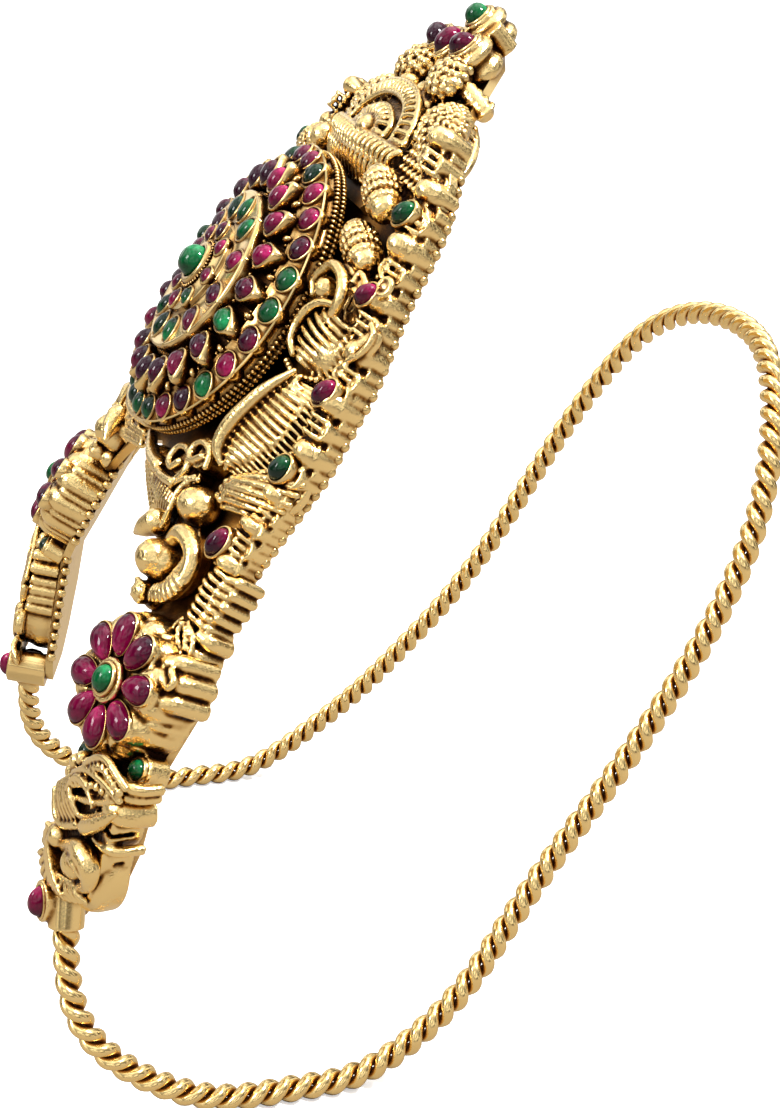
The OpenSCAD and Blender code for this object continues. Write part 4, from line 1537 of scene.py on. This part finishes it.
@dataclass(frozen=True)
class FootHead(Casting):
    """The crowned animal head on the foot."""

    name: str = "foot_head"
    place: Place = FOOT
    floor: float | None = -1.5
    sink: float | None = 0.8
    voxel: float = 0.15
    inner: Path = ((-0.8, -11.8, -0.8), (1.4, -12.2, -0.6), (4.2, -11.2, -0.6), (6.8, -10, -0.8))
    outer: Path = ((-2.6, -13.8, -1.6), (0, -15.2, -1.3), (4.2, -13.9, -1.3), (8.6, -10.9, -1.6))

    def carve(self, c: Carving) -> None:
        """Carves the head.

        Args:
            c: The casting.
        """
        c.bar([(3.7, 2.7, -0.7), (5.9, 5.2, -0.5), (7.9, 6.3, -0.5), (10.1, 6.1, -0.7), (11.4, 5.6, -1.1)],
              0.42)
        c.beads([(4.4, 2.2, -0.7), (6.3, 4.3, -0.5), (8, 5.2, -0.5), (9.6, 5.1, -0.5), (10.8, 4.7, -0.9)],
                10, 0.5)
        c.beads([(2.6, -0.6, -0.5), (4.6, 1, -0.4), (7, 2.5, -0.4), (9.4, 3.2, -0.6)], 8, 0.45)
        c.bar([(1.5, 0, -0.8), (4.1, 2.4, -0.5), (6.8, 3.5, -0.5), (9.2, 3.9, -0.7), (11, 3.8, -1)], 0.42)
        c.bar([(3.2, -1.8, -0.9), (5.2, -0.6, -0.7), (8, 1.3, -0.7), (10, 3, -0.9)], 0.42)
        c.ribs([(5, 1.4, -0.9), (8.6, 3, -0.9)], [(5.2, -0.2, -0.9), (8.6, 1.9, -0.9)], 6, 0.24, 0)
        c.slab([(1.4, 0.4, -1), (10.4, 5.4, -1)], [(3.4, -2, -1), (10.6, 1.8, -1)], drop=0.3, depth=2.4)
        c.bar([(4.7, -4.4, -0.9), (7, -2.4, -0.5), (9, -0.4, -0.5), (11.2, 2.4, -0.8)],
              0.3, 0.95, 0.8, 0.25)
        c.bar([(4.4, -3.2, -0.9), (7.6, -0.8, -0.7), (10, 1.8, -0.8)], 0.35, 0.5, 0.3)
        c.ribs([(-1.2, -3.4, -0.9), (1.2, -0.6, -0.8)], [(1.6, -6.2, -0.9), (4.2, -3, -0.7)], 6, 0.4, 0.5)
        c.bar([(-1.7, -4.6, -0.9), (-0.2, -6.5, -0.7), (1.9, -6.3, -0.7), (4.4, -4.4, -0.8)], 0.5)
        c.dome(-0.1, -9.5, -1, (1.5, 1.9, 1.1), -20)
        c.scales([(-1, -8.4, -0.4), (0.8, -8.2, -0.4)], [(-1, -10.6, -0.4), (0.8, -10.6, -0.4)], 5, 4, 0.36)
        c.bar([(2.6, -8.4, -1), (5, -6.6, -0.8), (7.2, -5.6, -0.6), (9, -6.2, -0.8), (8.8, -8.4, -1),
               (7, -10.2, -1.1)], 0.7, 1, 1.3, 1.2, 0.8, 0.5)
        c.bar([(5.4, -7.4, 0), (7.4, -6.4, 0.4), (8.8, -7, 0.1)], 0.35, 0.5, 0.3)
        c.slab(self.inner, self.outer, drop=0.6, depth=1.4)
        c.bar(self.inner, 0.4)
        c.ribs(self.inner, self.outer, 11, 0.42, 0.5)


@dataclass(frozen=True)
class FootWall(Casting):
    """Bands, a lipped slot and a big smooth end round the wall of the foot."""

    name: str = "foot_wall"
    place: Place = FOOT
    floor: float | None = -4.98
    sink: float | None = 0.1
    voxel: float = 0.18
    middle: tuple[float, float] = (4.4, -5)
    rounds: Path = ((2.2, -1.8, 3.2), (6.6, -1, 3.7), (4.6, -5, 5.1), (4.2, -8.6, 4.7))
    corner_bars: Path = ((11.6, 5.2, 0.62), (11.4, 4, 0.58), (10.6, 1.7, 1.5))
    rib_angles: tuple[float, float] = (1.9, 3.6)
    end_profile: tuple[tuple[float, float], ...] = (
        (0.1, -4.95), (5, -4.95), (5.3, -4.7), (5.35, -3), (5.1, -2.2), (4.5, -1.7), (3.6, -1.5), (0.1, -1.4),
    )

    def edge(self, angle: float) -> tuple[float, float]:
        """Where the wall lies.

        Args:
            angle: The direction from its middle, in radians.

        Returns:
            The point on the wall.
        """
        centre = np.array(self.middle)
        rounds = np.array(self.rounds)
        way = np.array([math.cos(angle), math.sin(angle)])
        gap = rounds[:, :2] - centre
        ahead = gap @ way
        inside = rounds[:, 2] ** 2 - (gap**2).sum(axis=1) + ahead**2
        reach = np.where(inside > 0, ahead + np.sqrt(np.maximum(inside, 0)), 0).max()
        x, y = centre + reach * way
        return float(x), float(y)

    def carve(self, c: Carving) -> None:
        """Carves the wall.

        Args:
            c: The casting.
        """
        for x, y, r in self.corner_bars:
            c.bar([(x - 2.6, y - 0.5, -1.9), (x - 0.8, y, -1.7), (x, y, -3), (x + 0.1, y, -5)], r * 0.7, r, r)
        c.bar([(7.4, -3.8, -1.5), (9.6, -3.2, -1.6), (10.8, -2.8, -2.6), (11, -2.7, -4.9)], 0.5, 0.6, 0.6)
        for angle in np.linspace(*self.rib_angles, 8):
            x, y = self.edge(angle)
            c.bar([(x, y, -1.8), (x, y, -5)], 0.8)
        c.turned_body(5, -8.6, self.end_profile)


@dataclass(frozen=True)
class Drums(Casting):
    """Two ribbed drums beside the rosette, and the scaled plate behind them."""

    name: str = "drums"
    floor: float | None = None
    voxel: float = 0.15
    places: Path = ((15.4, 17.6, 66), (18.4, 12.2, 72))
    middle_h: float = 2.1
    half_length: float = 2.5
    bands: tuple[tuple[float, float], ...] = ((-1.9, 1.75), (-0.64, 1.95), (0.64, 1.95), (1.9, 1.75))
    rib_step: int = 18
    rib_half: float = 0.32
    rib_r: float = 0.2
    end_at: float = 2.9
    end_r: float = 1.1

    def carve(self, c: Carving) -> None:
        """Carves the drums and the plate.

        Args:
            c: The casting.
        """
        for s, u, turn in self.places:
            self.drum(Carving(Place(CURVE.at(s, u, SEAT + self.middle_h, turn)), c.shape))
        c.slab([(10, 17.4, -3), (16, 17.4, -3), (20, 15, -3), (23, 12.4, -3)],
               [(10, 22, -3), (16.4, 23.6, -3), (22.4, 22.6, -3), (25.6, 14, -3)], drop=0, depth=1.3)
        c.scales([(13, 20, -2.9), (22.6, 19.6, -2.9)], [(13, 22.6, -2.9), (21.6, 22.8, -2.9)], 4, 9, 0.45)

    def drum(self, barrel: Carving) -> None:
        """Carves one drum round its own Y axis.

        Args:
            barrel: The same casting, with the drum's middle as its place.
        """
        half = self.half_length
        barrel.bar([(0, -half, 0), (0, 0, 0), (0, half, 0)], 1.6, 1.8, 1.6)
        for y, r in self.bands:
            for w in range(0, 360, self.rib_step):
                a = math.radians(w)
                x, h = r * math.cos(a), r * math.sin(a)
                barrel.bar([(x, y - self.rib_half, h), (x, y + self.rib_half, h)], self.rib_r)
        for side in (-1, 1):
            barrel.bead(0, self.end_at * side, 0, self.end_r)


@dataclass(frozen=True)
class CrestHood(Casting):
    """The ridges over the rosette's top, and the arch of fine ribs behind them."""

    name: str = "crest_hood"
    place: Place = CREST
    floor: float | None = CREST_SEAT
    voxel: float = 0.14
    both: bool = False
    low: Path = ((-11.8, 3, -0.3), (-6, 2.6, 0.4), (0, 2.4, 0.6), (6, 2.6, 0.4), (11.8, 3, -0.3))
    foot: Path = ((-11, 1.2, -1.7), (-6, 0.7, -1.6), (0, 0.5, -1.6), (6, 0.7, -1.6), (11, 1.2, -1.7))
    high: Path = ((-12.4, 4.9, 0.2), (-6, 4.6, 0.9), (0, 4.4, 1.1), (6, 4.6, 0.9), (12.4, 4.9, 0.2))
    arch: Path = ((-11.4, 5.8, 0.2), (-9.8, 8.4, 0.8), (-6, 10.6, 1.3), (0, 11.4, 1.5), (6, 10.6, 1.3),
                  (9.8, 8.4, 0.8), (11.4, 5.8, 0.2))
    inner: Path = ((-8.4, 5.4, 0.5), (-7.4, 7.4, 0.9), (-4.6, 9.2, 1.2), (0, 9.8, 1.4), (4.6, 9.2, 1.2),
                   (7.4, 7.4, 0.9), (8.4, 5.4, 0.5))
    fan: Path = ((-5.6, 5.4, 0.5), (-4.8, 7, 0.8), (0, 8.2, 1.1), (4.8, 7, 0.8), (5.6, 5.4, 0.5))
    heart: Path = ((-2.4, 5.2, 0.8), (-1.8, 6, 1), (0, 6.4, 1.1), (1.8, 6, 1), (2.4, 5.2, 0.8))

    def carve(self, c: Carving) -> None:
        """Carves the ridges and the arch.

        Args:
            c: The casting.
        """
        c.slab(self.low, self.high, drop=1.1, depth=2.4)
        c.slab(self.high, [(x, y, h - 0.8) for x, y, h in self.arch], drop=1, depth=2.4)
        c.bar(self.high, 0.42)
        c.bar(self.low, 0.36)
        c.ribs(self.high, self.low, 18, 0.4, 0.5)
        c.slab(self.foot, self.low, drop=1, depth=2)
        c.ribs(self.low, self.foot, 16, 0.44, 0.4)
        c.beads(self.foot, 26, 0.45)
        c.bar(self.arch, 0.3, 0.44, 0.3)
        c.ribs(self.arch, self.inner, 22, 0.34, 0.35)
        c.bar(self.inner, 0.36)
        c.bar(self.fan, 0.4)
        c.ribs(self.fan, self.heart, 11, 0.34, 0.45)
        c.dome(0, 5.2, 0.6, (1.8, 1.4, 1.6))


# Stones

RING_Z, TIER_Z, MIDDLE_Z, HUB_Z = 1.1, 2.8, 3.4, 3.9
RING_LEAN = 14
STONE_SINK, STONE_LIFT = 0.5, 0.06


def on_dish(r: float, h: float, angle: float) -> Matrix:
    """Local frame on the rosette, bent with the front, its +Y pointing outwards."""
    a = math.radians(angle)
    return CURVE.at(r * math.cos(a), r * math.sin(a), h, angle - 90)


@dataclass(frozen=True)
class StoneRing:
    """A ring of equal stones on the rosette, counted clockwise.

    Two stones that mirror each other have numbers that add up to pair_sum.
    """

    count: int
    r: float
    first: float
    z: float
    length: float
    width: float
    height: float
    wall: float
    lip: float
    greens: tuple[int, ...]
    pair_sum: int | None = None
    tip: float = 0
    depth: float = 0.7
    point: float = 0
    sink: float = STONE_SINK
    lean: float = 0

    def is_green(self, i: int) -> bool:
        """Whether stone i, or the one that mirrors it, is among the greens."""
        return i in self.greens or (self.pair_sum is not None and self.pair_sum - i in self.greens)

    def frame(self, i: int) -> Matrix:
        """Where stone i sits."""
        seat = on_dish(self.r, self.z, self.first - 360 * i / self.count)
        return seat @ turned(-self.lean) @ moved(0, 0, STONE_LIFT - self.sink)

    def frames(self, green: bool | None = None) -> list[Matrix]:
        """Where its stones sit: those of one colour, or all."""
        return [self.frame(i) for i in range(self.count) if green in (None, self.is_green(i))]

    def stone(self) -> Shape:
        """One of its stones."""
        return stone_shape(self.length, self.width, self.height, self.tip)

    def rim(self) -> Shape:
        """The rim of one of its stones."""
        return bezel_shape(self.length, self.width, self.depth, self.wall, self.tip, self.lip, self.point)


# The rings from the outermost to the innermost
STONE_RINGS = (
    StoneRing(28, 15.9, 83.57, RING_Z, 2.6, 2.85, 1.2, 0.3, 0.65, (1, 5, 6, 9, 12, 13), 27,
              tip=0.15, point=0.1, lean=RING_LEAN),
    StoneRing(20, 12.4, 81, TIER_Z, 3, 2.7, 1.4, 0.34, 0.65, (5,), 20, tip=0.2, depth=1.6, point=0.35),
    StoneRing(12, 7.7, 84, MIDDLE_Z, 3, 2.4, 1.1, 0.36, 0.6, (0, 1, 5, 6), 12, tip=0.1, point=0.25),
    StoneRing(8, 4.4, 90, HUB_Z, 2.1, 1.7, 0.9, 0.3, 0.5, (3, 6), depth=0.3, sink=0.3),
)


@dataclass(frozen=True)
class Setting:
    """One stone in its rim."""

    length: float
    width: float
    height: float
    depth: float = 1
    wall: float = 0.35
    lip: float = 0.5
    tip: float = 0

    def stone(self) -> Shape:
        """The stone."""
        return stone_shape(self.length, self.width, self.height, self.tip)

    def rim(self) -> Shape:
        """The rim."""
        return bezel_shape(self.length, self.width, self.depth, self.wall, self.tip, self.lip)


@dataclass(frozen=True)
class PlacedStone:
    """A stone with its rim at a point of a place, turned by degrees."""

    x: float
    y: float
    turn: float
    setting: Setting

    def frames(self, place: Place, h: float) -> list[Matrix]:
        """Its frame at a height, as a list of one."""
        return [place.at(self.x, self.y, h, self.turn)]


# Sub-assemblies


@dataclass(frozen=True)
class GrainRow:
    """A row of small grains round the rosette."""

    r: float
    h: float
    size: float
    count: int

    def frames(self) -> list[Matrix]:
        """Where its grains sit."""
        return [on_dish(self.r, self.h, 90 - 360 * i / self.count) for i in range(self.count)]


DISH_PROFILE = [
    (0.1, -3.8), (5, -3.8), (10, -3.8), (14.6, -3.8), (15.2, -3), (16.6, -2.2), (17.2, -1.9), (17.4, -1.65),
    (17.2, -1.4), (17, -1.2), (17.3, -1), (17.35, -0.75), (17.1, -0.6), (16.9, -0.3), (16.9, 0.1),
    (17.15, 0.35), (17.4, 0.5), (17.45, 0.7), (17.3, 0.82), (17.1, 0.72), (14.5, 1.4), (14.35, 1.6),
    (14.2, 1.65), (14.05, 1.5), (13.9, 1.3), (12, 1.3), (10, 1.3), (9.9, 1.6), (9.9, 3), (9.8, 3.4),
    (9.6, 3.5), (9.3, 3.4), (7.5, 3.35), (5.8, 3.35), (5.6, 3.5), (5.5, 3.85), (5.3, 3.9), (2.7, 3.95),
    (2.55, 4.1), (2.5, 4.5), (2.3, 4.65), (1.95, 4.6), (1.9, 4.25), (0.1, 4.25),
]


@dataclass(frozen=True)
class Rosette:
    """The round stepped dish with its rings of stones."""

    shop: Workshop
    rings: tuple[StoneRing, ...] = STONE_RINGS
    sides: int = 192
    grain_rows: tuple[GrainRow, ...] = (
        GrainRow(17.3, -0.85, 0.4, 170), GrainRow(17.3, -1.65, 0.38, 170), GrainRow(14.1, 1.7, 0.62, 20),
        GrainRow(13.7, 1.4, 0.4, 90), GrainRow(10, 2, 0.42, 80), GrainRow(2.75, 4.1, 0.24, 44),
    )
    grain_radii: Point = (0.62, 1, 1)
    centre: Setting = Setting(3.6, 3.6, 1.9)
    centre_rise: float = 0.3

    def build(self) -> None:
        """Builds the dish, then its stones."""
        self.dish()
        self.stones()

    def dish(self) -> None:
        """The dish with its rims and grains."""
        metal = self.shop.finishes.smooth
        body = Shape()
        body.revolve(DISH_PROFILE, self.sides)
        body.vertices = [CURVE.points(v) for v in body.vertices]
        meshes = [self.shop.tools.plain(body, "dish", metal)]
        meshes += [self.shop.rims(ring.rim(), ring.frames()) for ring in self.rings]
        grain = Shape()
        grain.ball(np.zeros(3), np.array(self.grain_radii), 8)
        for row in self.grain_rows:
            sizes = [row.size] * row.count
            meshes.append(self.shop.tools.scatter("grain", grain, row.frames(), metal, sizes=sizes))
        self.shop.bench.put(meshes, "rosette_dish", Slot.CAST, ["rosette_dish"])

    def stones(self) -> None:
        """The red stones, the green ones and the one in the middle."""
        for green, name, slot in ((False, "rosette_rubies", Slot.RUBY),
                                  (True, "rosette_emeralds", Slot.EMERALD)):
            self.shop.stones(name, slot, [(ring.stone(), ring.frames(green)) for ring in self.rings])
        frame = on_dish(0, HUB_Z + self.centre_rise + STONE_LIFT, 90)
        self.shop.stones("rosette_centre", Slot.EMERALD, [(self.centre.stone(), [frame])])


@dataclass(frozen=True)
class EdgeBeads:
    """Small beads along the back edge, the leg's inner side and the foot's."""

    shop: Workshop
    bead_r: float = 0.6
    out: float = 0.1
    h: float = -4.6
    edge_count: int = 40
    leg_path: Path = ((-6.4, 6.4, -6.2), (-7.3, 0, -6.2), (-6, -5, -6.2))
    leg_count: int = 9
    foot_path: Path = ((-1.6, 0, -5.8), (-2.2, -6, -5.8), (-2, -13, -5.8))
    foot_count: int = 10

    def build(self) -> None:
        """Builds the beads of both halves."""
        edge = [(edge_s(u) + self.out, u, self.h) for u in range(-28, 26, 3)]
        middles = np.vstack([
            place.points(along(path, np.linspace(0, 1, count)))
            for place, path, count in ((CURVE, edge, self.edge_count), (LEG, self.leg_path, self.leg_count),
                                       (FOOT, self.foot_path, self.foot_count))
        ])
        bead = Shape()
        bead.ball(np.zeros(3), self.bead_r, 10)
        frames = [moved(*middle) for middle in middles]
        mesh = self.shop.tools.scatter("edge_beads", bead, frames, self.shop.finishes.smooth)
        self.shop.bench.put_both([mesh], "edge_beads", Slot.CAST, [])


@dataclass(frozen=True)
class Finial:
    """The stone-set half-flower above the hood: ribs, bulging cups and rims."""

    shop: Workshop
    sink: float = 0.2
    height: float = 4
    rubies: tuple[PlacedStone, ...] = (
        PlacedStone(-4.6, 17.6, 50, Setting(3.2, 2.3, 1.6)),
        PlacedStone(0, 17.4, 0, Setting(3.4, 2.4, 1.6)),
        PlacedStone(4.6, 17.6, -50, Setting(3.2, 2.3, 1.6)),
    )
    emerald: PlacedStone = PlacedStone(0, 21.4, 0, Setting(2.6, 2.6, 1.6))
    cup_profile: tuple[tuple[float, float], ...] = (
        (0.1, -2.4), (1.9, -2.4), (2.5, -1.9), (2.6, -1.2), (2.2, -0.5), (2.1, -0.2), (2.6, 0.2),
        (2.7, 0.7), (2.4, 1.2), (1.8, 1.5), (0.1, 1.5),
    )

    def build(self) -> None:
        """Builds the finial, then its stones."""
        top = CREST_SEAT + self.height - STONE_SINK + STONE_LIFT
        shape = self.shop.bench.cad_shape("crest_finial", self.sink)
        c = Carving(CREST, shape)
        c.ribs([(-4.4, 16, -0.4), (4.4, 16, -0.4)], [(-4.4, 20, 0.6), (4.4, 20, 0.6)], 10, 0.45, 0.4)
        stones = (*self.rubies, self.emerald)
        for stone in stones:
            c.turned_body(stone.x, stone.y, self.cup_profile)
        meshes = [self.shop.tools.cast(shape, "crest_finial", self.shop.finishes.cast)]
        meshes += [self.shop.rims(stone.setting.rim(), stone.frames(CREST, top)) for stone in stones]
        self.shop.bench.put(meshes, "crest_finial", Slot.CAST, ["crest_finial"])
        for name, slot, row in (("finial_rubies", Slot.RUBY, self.rubies),
                                ("finial_emerald", Slot.EMERALD, (self.emerald,))):
            groups = [(stone.setting.stone(), stone.frames(CREST, top)) for stone in row]
            self.shop.stones(name, slot, groups)


@dataclass(frozen=True)
class LegFlower:
    """The stone-set flower on each leg."""

    shop: Workshop
    petals: int = 8
    first_petal: float = 24
    petal_at: tuple[float, float] = (4.65, -0.5)
    petal: Setting = Setting(4.3, 3.45, 1.5, 1.5, 0.26, 0.55, 0.35)
    least_shade: float = 0.7
    centre_h: float = 0.46
    centre: Setting = Setting(2.9, 2.6, 1.3, 1, 0.45, 0.5)
    seat: float = -5.44
    cup_height: float = 2.6
    cups_at: tuple[tuple[float, float], ...] = ((7.3, -4.9), (-0.8, -8.8))
    cup: Setting = Setting(2.1, 2.1, 1.2, 1, 0.45, 0.55)
    floor: float = -6.2
    body_profile: tuple[tuple[float, float], ...] = (
        (0.1, -6.2), (6.8, -6.2), (6.95, -6), (6.95, -2.3), (6.7, -1.8), (6, -1.6), (0.1, -1.6),
    )
    sink: float = 0.3
    voxel: float = 0.2
    lobes: int = 14
    lobe: tuple[float, float] = (5.75, 1.75)
    groove_bar: tuple[float, float] = (7.15, 0.32)
    corner_bars: tuple[tuple[float, float], ...] = ((5.5, 6.4), (6.7, 4.9), (7.3, 3))

    def build(self) -> None:
        """Builds the body, then its stones."""
        petals = self.petal_frames()
        top = self.seat + self.cup_height - STONE_SINK + STONE_LIFT
        cups = [LEG.at(x, y, top) for x, y in self.cups_at]
        centre = [LEG.at(0, 0, self.centre_h)]
        meshes = [self.body()]
        for setting, frames in ((self.petal, petals), (self.centre, centre), (self.cup, cups)):
            meshes.append(self.shop.rims(setting.rim(), frames))
        self.shop.bench.put_both(meshes, "flower", Slot.CAST, ["flower"])
        self.shop.stones("petals", Slot.RUBY, [(self.petal.stone(), petals)], True, self.least_shade)
        self.shop.stones("flower_centre", Slot.EMERALD, [(self.centre.stone(), centre)], True)
        self.shop.stones("leg_emeralds", Slot.EMERALD, [(self.cup.stone(), cups)], True)

    def petal_frames(self) -> list[Matrix]:
        """Where the petals sit, their tips pointing inwards.

        Returns:
            A frame for each petal.
        """
        out, h = self.petal_at
        turns = [self.first_petal - 360 / self.petals * i for i in range(self.petals)]
        return [LEG.at(0, 0, 0, turn) @ moved(0, out, h) @ turned(z=180) for turn in turns]

    def body(self) -> bpy.types.Mesh:
        """The flower's body with its lobed wall.

        Returns:
            The fused mesh.
        """
        shape = self.shop.bench.cad_shape("right_flower", self.sink)
        c = Carving(LEG, shape)
        c.bar([(5.7, 5.5, -1.2), (7, 5, -1.2), (6.5, 4, -1.2), (4.9, 4.6, -1.2)], 0.4)
        c.turned_body(0, 0, self.body_profile)
        for i in range(2 * self.lobes):
            a = math.tau * i / (2 * self.lobes)
            r, size = self.lobe if i % 2 else self.groove_bar
            x, y = math.cos(a), math.sin(a)
            c.bar([((r - 0.9) * x, (r - 0.9) * y, -1.3), (r * x, r * y, -2.2), (r * x, r * y, -6)],
                  size * 0.8, size, size)
        for x, y in self.corner_bars:
            c.bar([(x - 1.2, y - 0.9, -1.7), (x - 0.3, y - 0.2, -2.6), (x + 0.2, y, -6)], 0.8, 1, 1)
        c.seated(self.floor)
        return self.shop.tools.cast(shape, "flower", self.shop.finishes.cast, self.voxel)


@dataclass(frozen=True)
class FootEnd:
    """The cup at each foot's end, with its pointed ruby."""

    shop: Workshop
    at: tuple[float, float] = (1.9, -16.2)
    turn: float = 14
    height: float = 5
    ruby: Setting = Setting(3.4, 2.4, 1.7, 0.8, 0.4, 0.6, 0.3)
    voxel: float = 0.14
    spread: int = 6

    def build(self) -> None:
        """Builds the cup and its stone."""
        frame = FOOT.at(*self.at, FOOT_SEAT + self.height - STONE_SINK + STONE_LIFT, self.turn)
        shape = self.shop.bench.cad_shape("right_end_cup")
        cup = self.shop.tools.cast(shape, "end_cup", self.shop.finishes.smooth, self.voxel, self.spread)
        meshes = [cup, self.shop.rims(self.ruby.rim(), [frame])]
        self.shop.bench.put_both(meshes, "end_cup", Slot.CAST, ["end_cup"])
        self.shop.stones("end_ruby", Slot.RUBY, [(self.ruby.stone(), [frame])], True)


def edge_stone(s: float, u: float, turn: float, length: float, width: float) -> PlacedStone:
    """A stone along the gallery."""
    return PlacedStone(s, u, turn, Setting(length, width, 1.4, 1.5, 0.32, 0.55))


@dataclass(frozen=True)
class EdgeStones:
    """The stones along the gallery, with their rims."""

    shop: Workshop
    rubies: tuple[PlacedStone, ...] = (
        edge_stone(25.4, 9.2, -28, 2.7, 1.9),
        edge_stone(29, -0.4, -22, 3.1, 2.1),
        edge_stone(29.2, -18.2, -10, 3.3, 2.2),
    )
    emeralds: tuple[PlacedStone, ...] = (
        edge_stone(22.6, 17.4, -30, 2.9, 2.1),
        edge_stone(30.3, -8.6, -12, 2.8, 2.3),
    )
    height: float = 3.2

    def build(self) -> None:
        """Builds the stones, then their rims."""
        h = SEAT + self.height - STONE_SINK + STONE_LIFT
        rims = []
        for name, slot, row in (("edge_rubies", Slot.RUBY, self.rubies),
                                ("edge_emeralds", Slot.EMERALD, self.emeralds)):
            groups = [(stone.setting.stone(), stone.frames(CURVE, h)) for stone in row]
            rims += [self.shop.rims(stone.setting.rim(), stone.frames(CURVE, h)) for stone in row]
            self.shop.stones(name, slot, groups, True)
        self.shop.bench.put_both(rims, "edge_rims", Slot.CAST, [])


@dataclass(frozen=True)
class BackSheet:
    """The plain sheet behind everything, as in the CAD model."""

    shop: Workshop

    def build(self) -> None:
        """Builds the sheet."""
        shape = self.shop.bench.cad_shape("back_sheet")
        mesh = self.shop.tools.plain(shape, "back_sheet", self.shop.finishes.sheet)
        self.shop.bench.put([mesh], "back_sheet", Slot.SHEET, ["back_sheet"])


SUB_ASSEMBLIES = (
    Rope, Rosette, Peacock, Wing, Feather, Gallery, Scrolls, Trunk, Ridges, CrestBird, FootHead, FootWall,
    Drums, EdgeBeads, CrestHood, Finial, LegFlower, FootEnd, EdgeStones, BackSheet,
)


# The studio


@dataclass(frozen=True)
class Softbox:
    """A square light, placed by the camera's right, up and forward axes, in metres from the object."""

    right: float
    up: float
    forward: float
    size: float
    watts: float


class Studio:
    """Camera, lights and floor."""

    LENS = 36 * 1700 / 1108
    EYE = Vector((178.42, -47.01, 128.04)) * METRE
    YAW, PITCH, ROLL = 15.0, 23.3, 0.6
    MIDDLE = Vector((0, -5, 50)) * METRE
    LIGHTS = (
        Softbox(0.3, 0.45, -0.12, 0.12, 3.4),
        Softbox(-0.5, 0.3, -0.25, 0.2, 1.8),
        Softbox(0.1, 0.7, 0.2, 0.5, 1.2),
    )

    DARK_SKY, BRIGHT_SKY = (0.06, 0.05, 0.045), (1.8, 1.8, 1.8)
    FLOOR_HALF, FLOOR_GLOW = 4, 0.45
    FLOOR_REFLECTED, FLOOR_SEEN = (0.3, 0.27, 0.24), (0.95, 0.95, 0.95)

    def __init__(self) -> None:
        """Works out the camera's axes."""
        yaw, pitch, roll = (math.radians(a) for a in (self.YAW, self.PITCH, self.ROLL))
        self.forward = Vector((
            -math.cos(pitch) * math.cos(yaw), math.cos(pitch) * math.sin(yaw), -math.sin(pitch)
        ))
        level = self.forward.cross(Vector((0, 0, 1))).normalized()
        above = level.cross(self.forward)
        self.right = math.cos(roll) * level + math.sin(roll) * above
        self.up = -math.sin(roll) * level + math.cos(roll) * above

    def build(self) -> None:
        """Builds the studio."""
        self.camera()
        for i, light in enumerate(self.LIGHTS):
            self.light(f"softbox_{i}", light)
        self.world()
        self.floor()
        view = bpy.context.scene.view_settings
        view.view_transform = "Standard"
        view.look = "None"

    def camera(self) -> None:
        """The camera that the picture is seen through."""
        data = bpy.data.cameras.new("camera")
        data.sensor_fit = "VERTICAL"
        data.sensor_height = 36
        data.lens = self.LENS
        data.clip_start = 0.01
        data.clip_end = 20
        camera = bpy.data.objects.new("camera", data)
        axes = Matrix((self.right, self.up, -self.forward)).transposed()
        camera.matrix_world = Matrix.Translation(self.EYE) @ axes.to_4x4()
        bpy.context.scene.collection.objects.link(camera)
        bpy.context.scene.camera = camera

    def light(self, name: str, box: Softbox) -> None:
        """A softbox that faces the object.

        Args:
            name: Its name.
            box: Its place, size and power.
        """
        data = bpy.data.lights.new(name, "AREA")
        data.size = box.size
        data.energy = box.watts
        lamp = bpy.data.objects.new(name, data)
        offset = self.right * box.right + Vector((0, 0, 1)) * box.up + self.forward * box.forward
        lamp.location = self.MIDDLE + offset
        lamp.rotation_euler = (-offset).to_track_quat("-Z", "Y").to_euler()
        bpy.context.scene.collection.objects.link(lamp)

    def world(self) -> None:
        """Light from above and clouds of light at the sides, as a busy room gives."""
        world = bpy.data.worlds.new("studio")
        world.use_nodes = True
        nodes = Nodes(world.node_tree)
        world.node_tree.nodes.clear()
        place = nodes.make("ShaderNodeTexCoord").outputs["Generated"]
        height = Value(nodes, nodes.make("ShaderNodeSeparateXYZ", {0: place}).outputs["Z"])
        cloud = Value(nodes, nodes.make("ShaderNodeTexNoise", {"Vector": place, "Scale": 2.4}).outputs[0])
        light = height.between(0.1, 0.95) * 0.35 + cloud.between(0.46, 0.6) * 0.65
        sky = light.mix(self.DARK_SKY, self.BRIGHT_SKY)
        back = nodes.make("ShaderNodeBackground", {"Color": sky, "Strength": 1.0})
        nodes.make("ShaderNodeOutputWorld", {"Surface": back.outputs[0]})
        bpy.context.scene.world = world

    def floor(self) -> None:
        """A wide pale floor, darker in the metal's reflections than to the eye."""
        shader = Shader("floor", Roughness=0.9)
        seen = Value(shader, shader.make("ShaderNodeLightPath").outputs["Is Camera Ray"])
        shader.feed("Base Color", seen.mix(self.FLOOR_REFLECTED, self.FLOOR_SEEN))
        shader.feed("Emission Color", seen.mix((0.0, 0.0, 0.0), (1.0, 1.0, 1.0)))
        shader.surface.inputs["Emission Strength"].default_value = self.FLOOR_GLOW
        half = self.FLOOR_HALF
        mesh = bpy.data.meshes.new("floor")
        mesh.from_pydata([(-half, -half, 0), (half, -half, 0), (half, half, 0), (-half, half, 0)], [],
                         [[0, 1, 2, 3]])
        mesh.materials.append(shader.material)
        floor = bpy.data.objects.new("floor", mesh)
        bpy.context.scene.collection.objects.link(floor)


def main() -> None:
    """Builds the scene on the CAD frame."""
    logging.basicConfig(level=logging.INFO, format="%(message)s")
    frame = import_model()
    for node in frame["nodes"].values():
        node.hide_render = True
        node.hide_viewport = True
    shop = Workshop(frame)
    for sub_assembly in SUB_ASSEMBLIES:
        sub_assembly(shop).build()
    Studio().build()


if __name__ == "__main__":
    main()
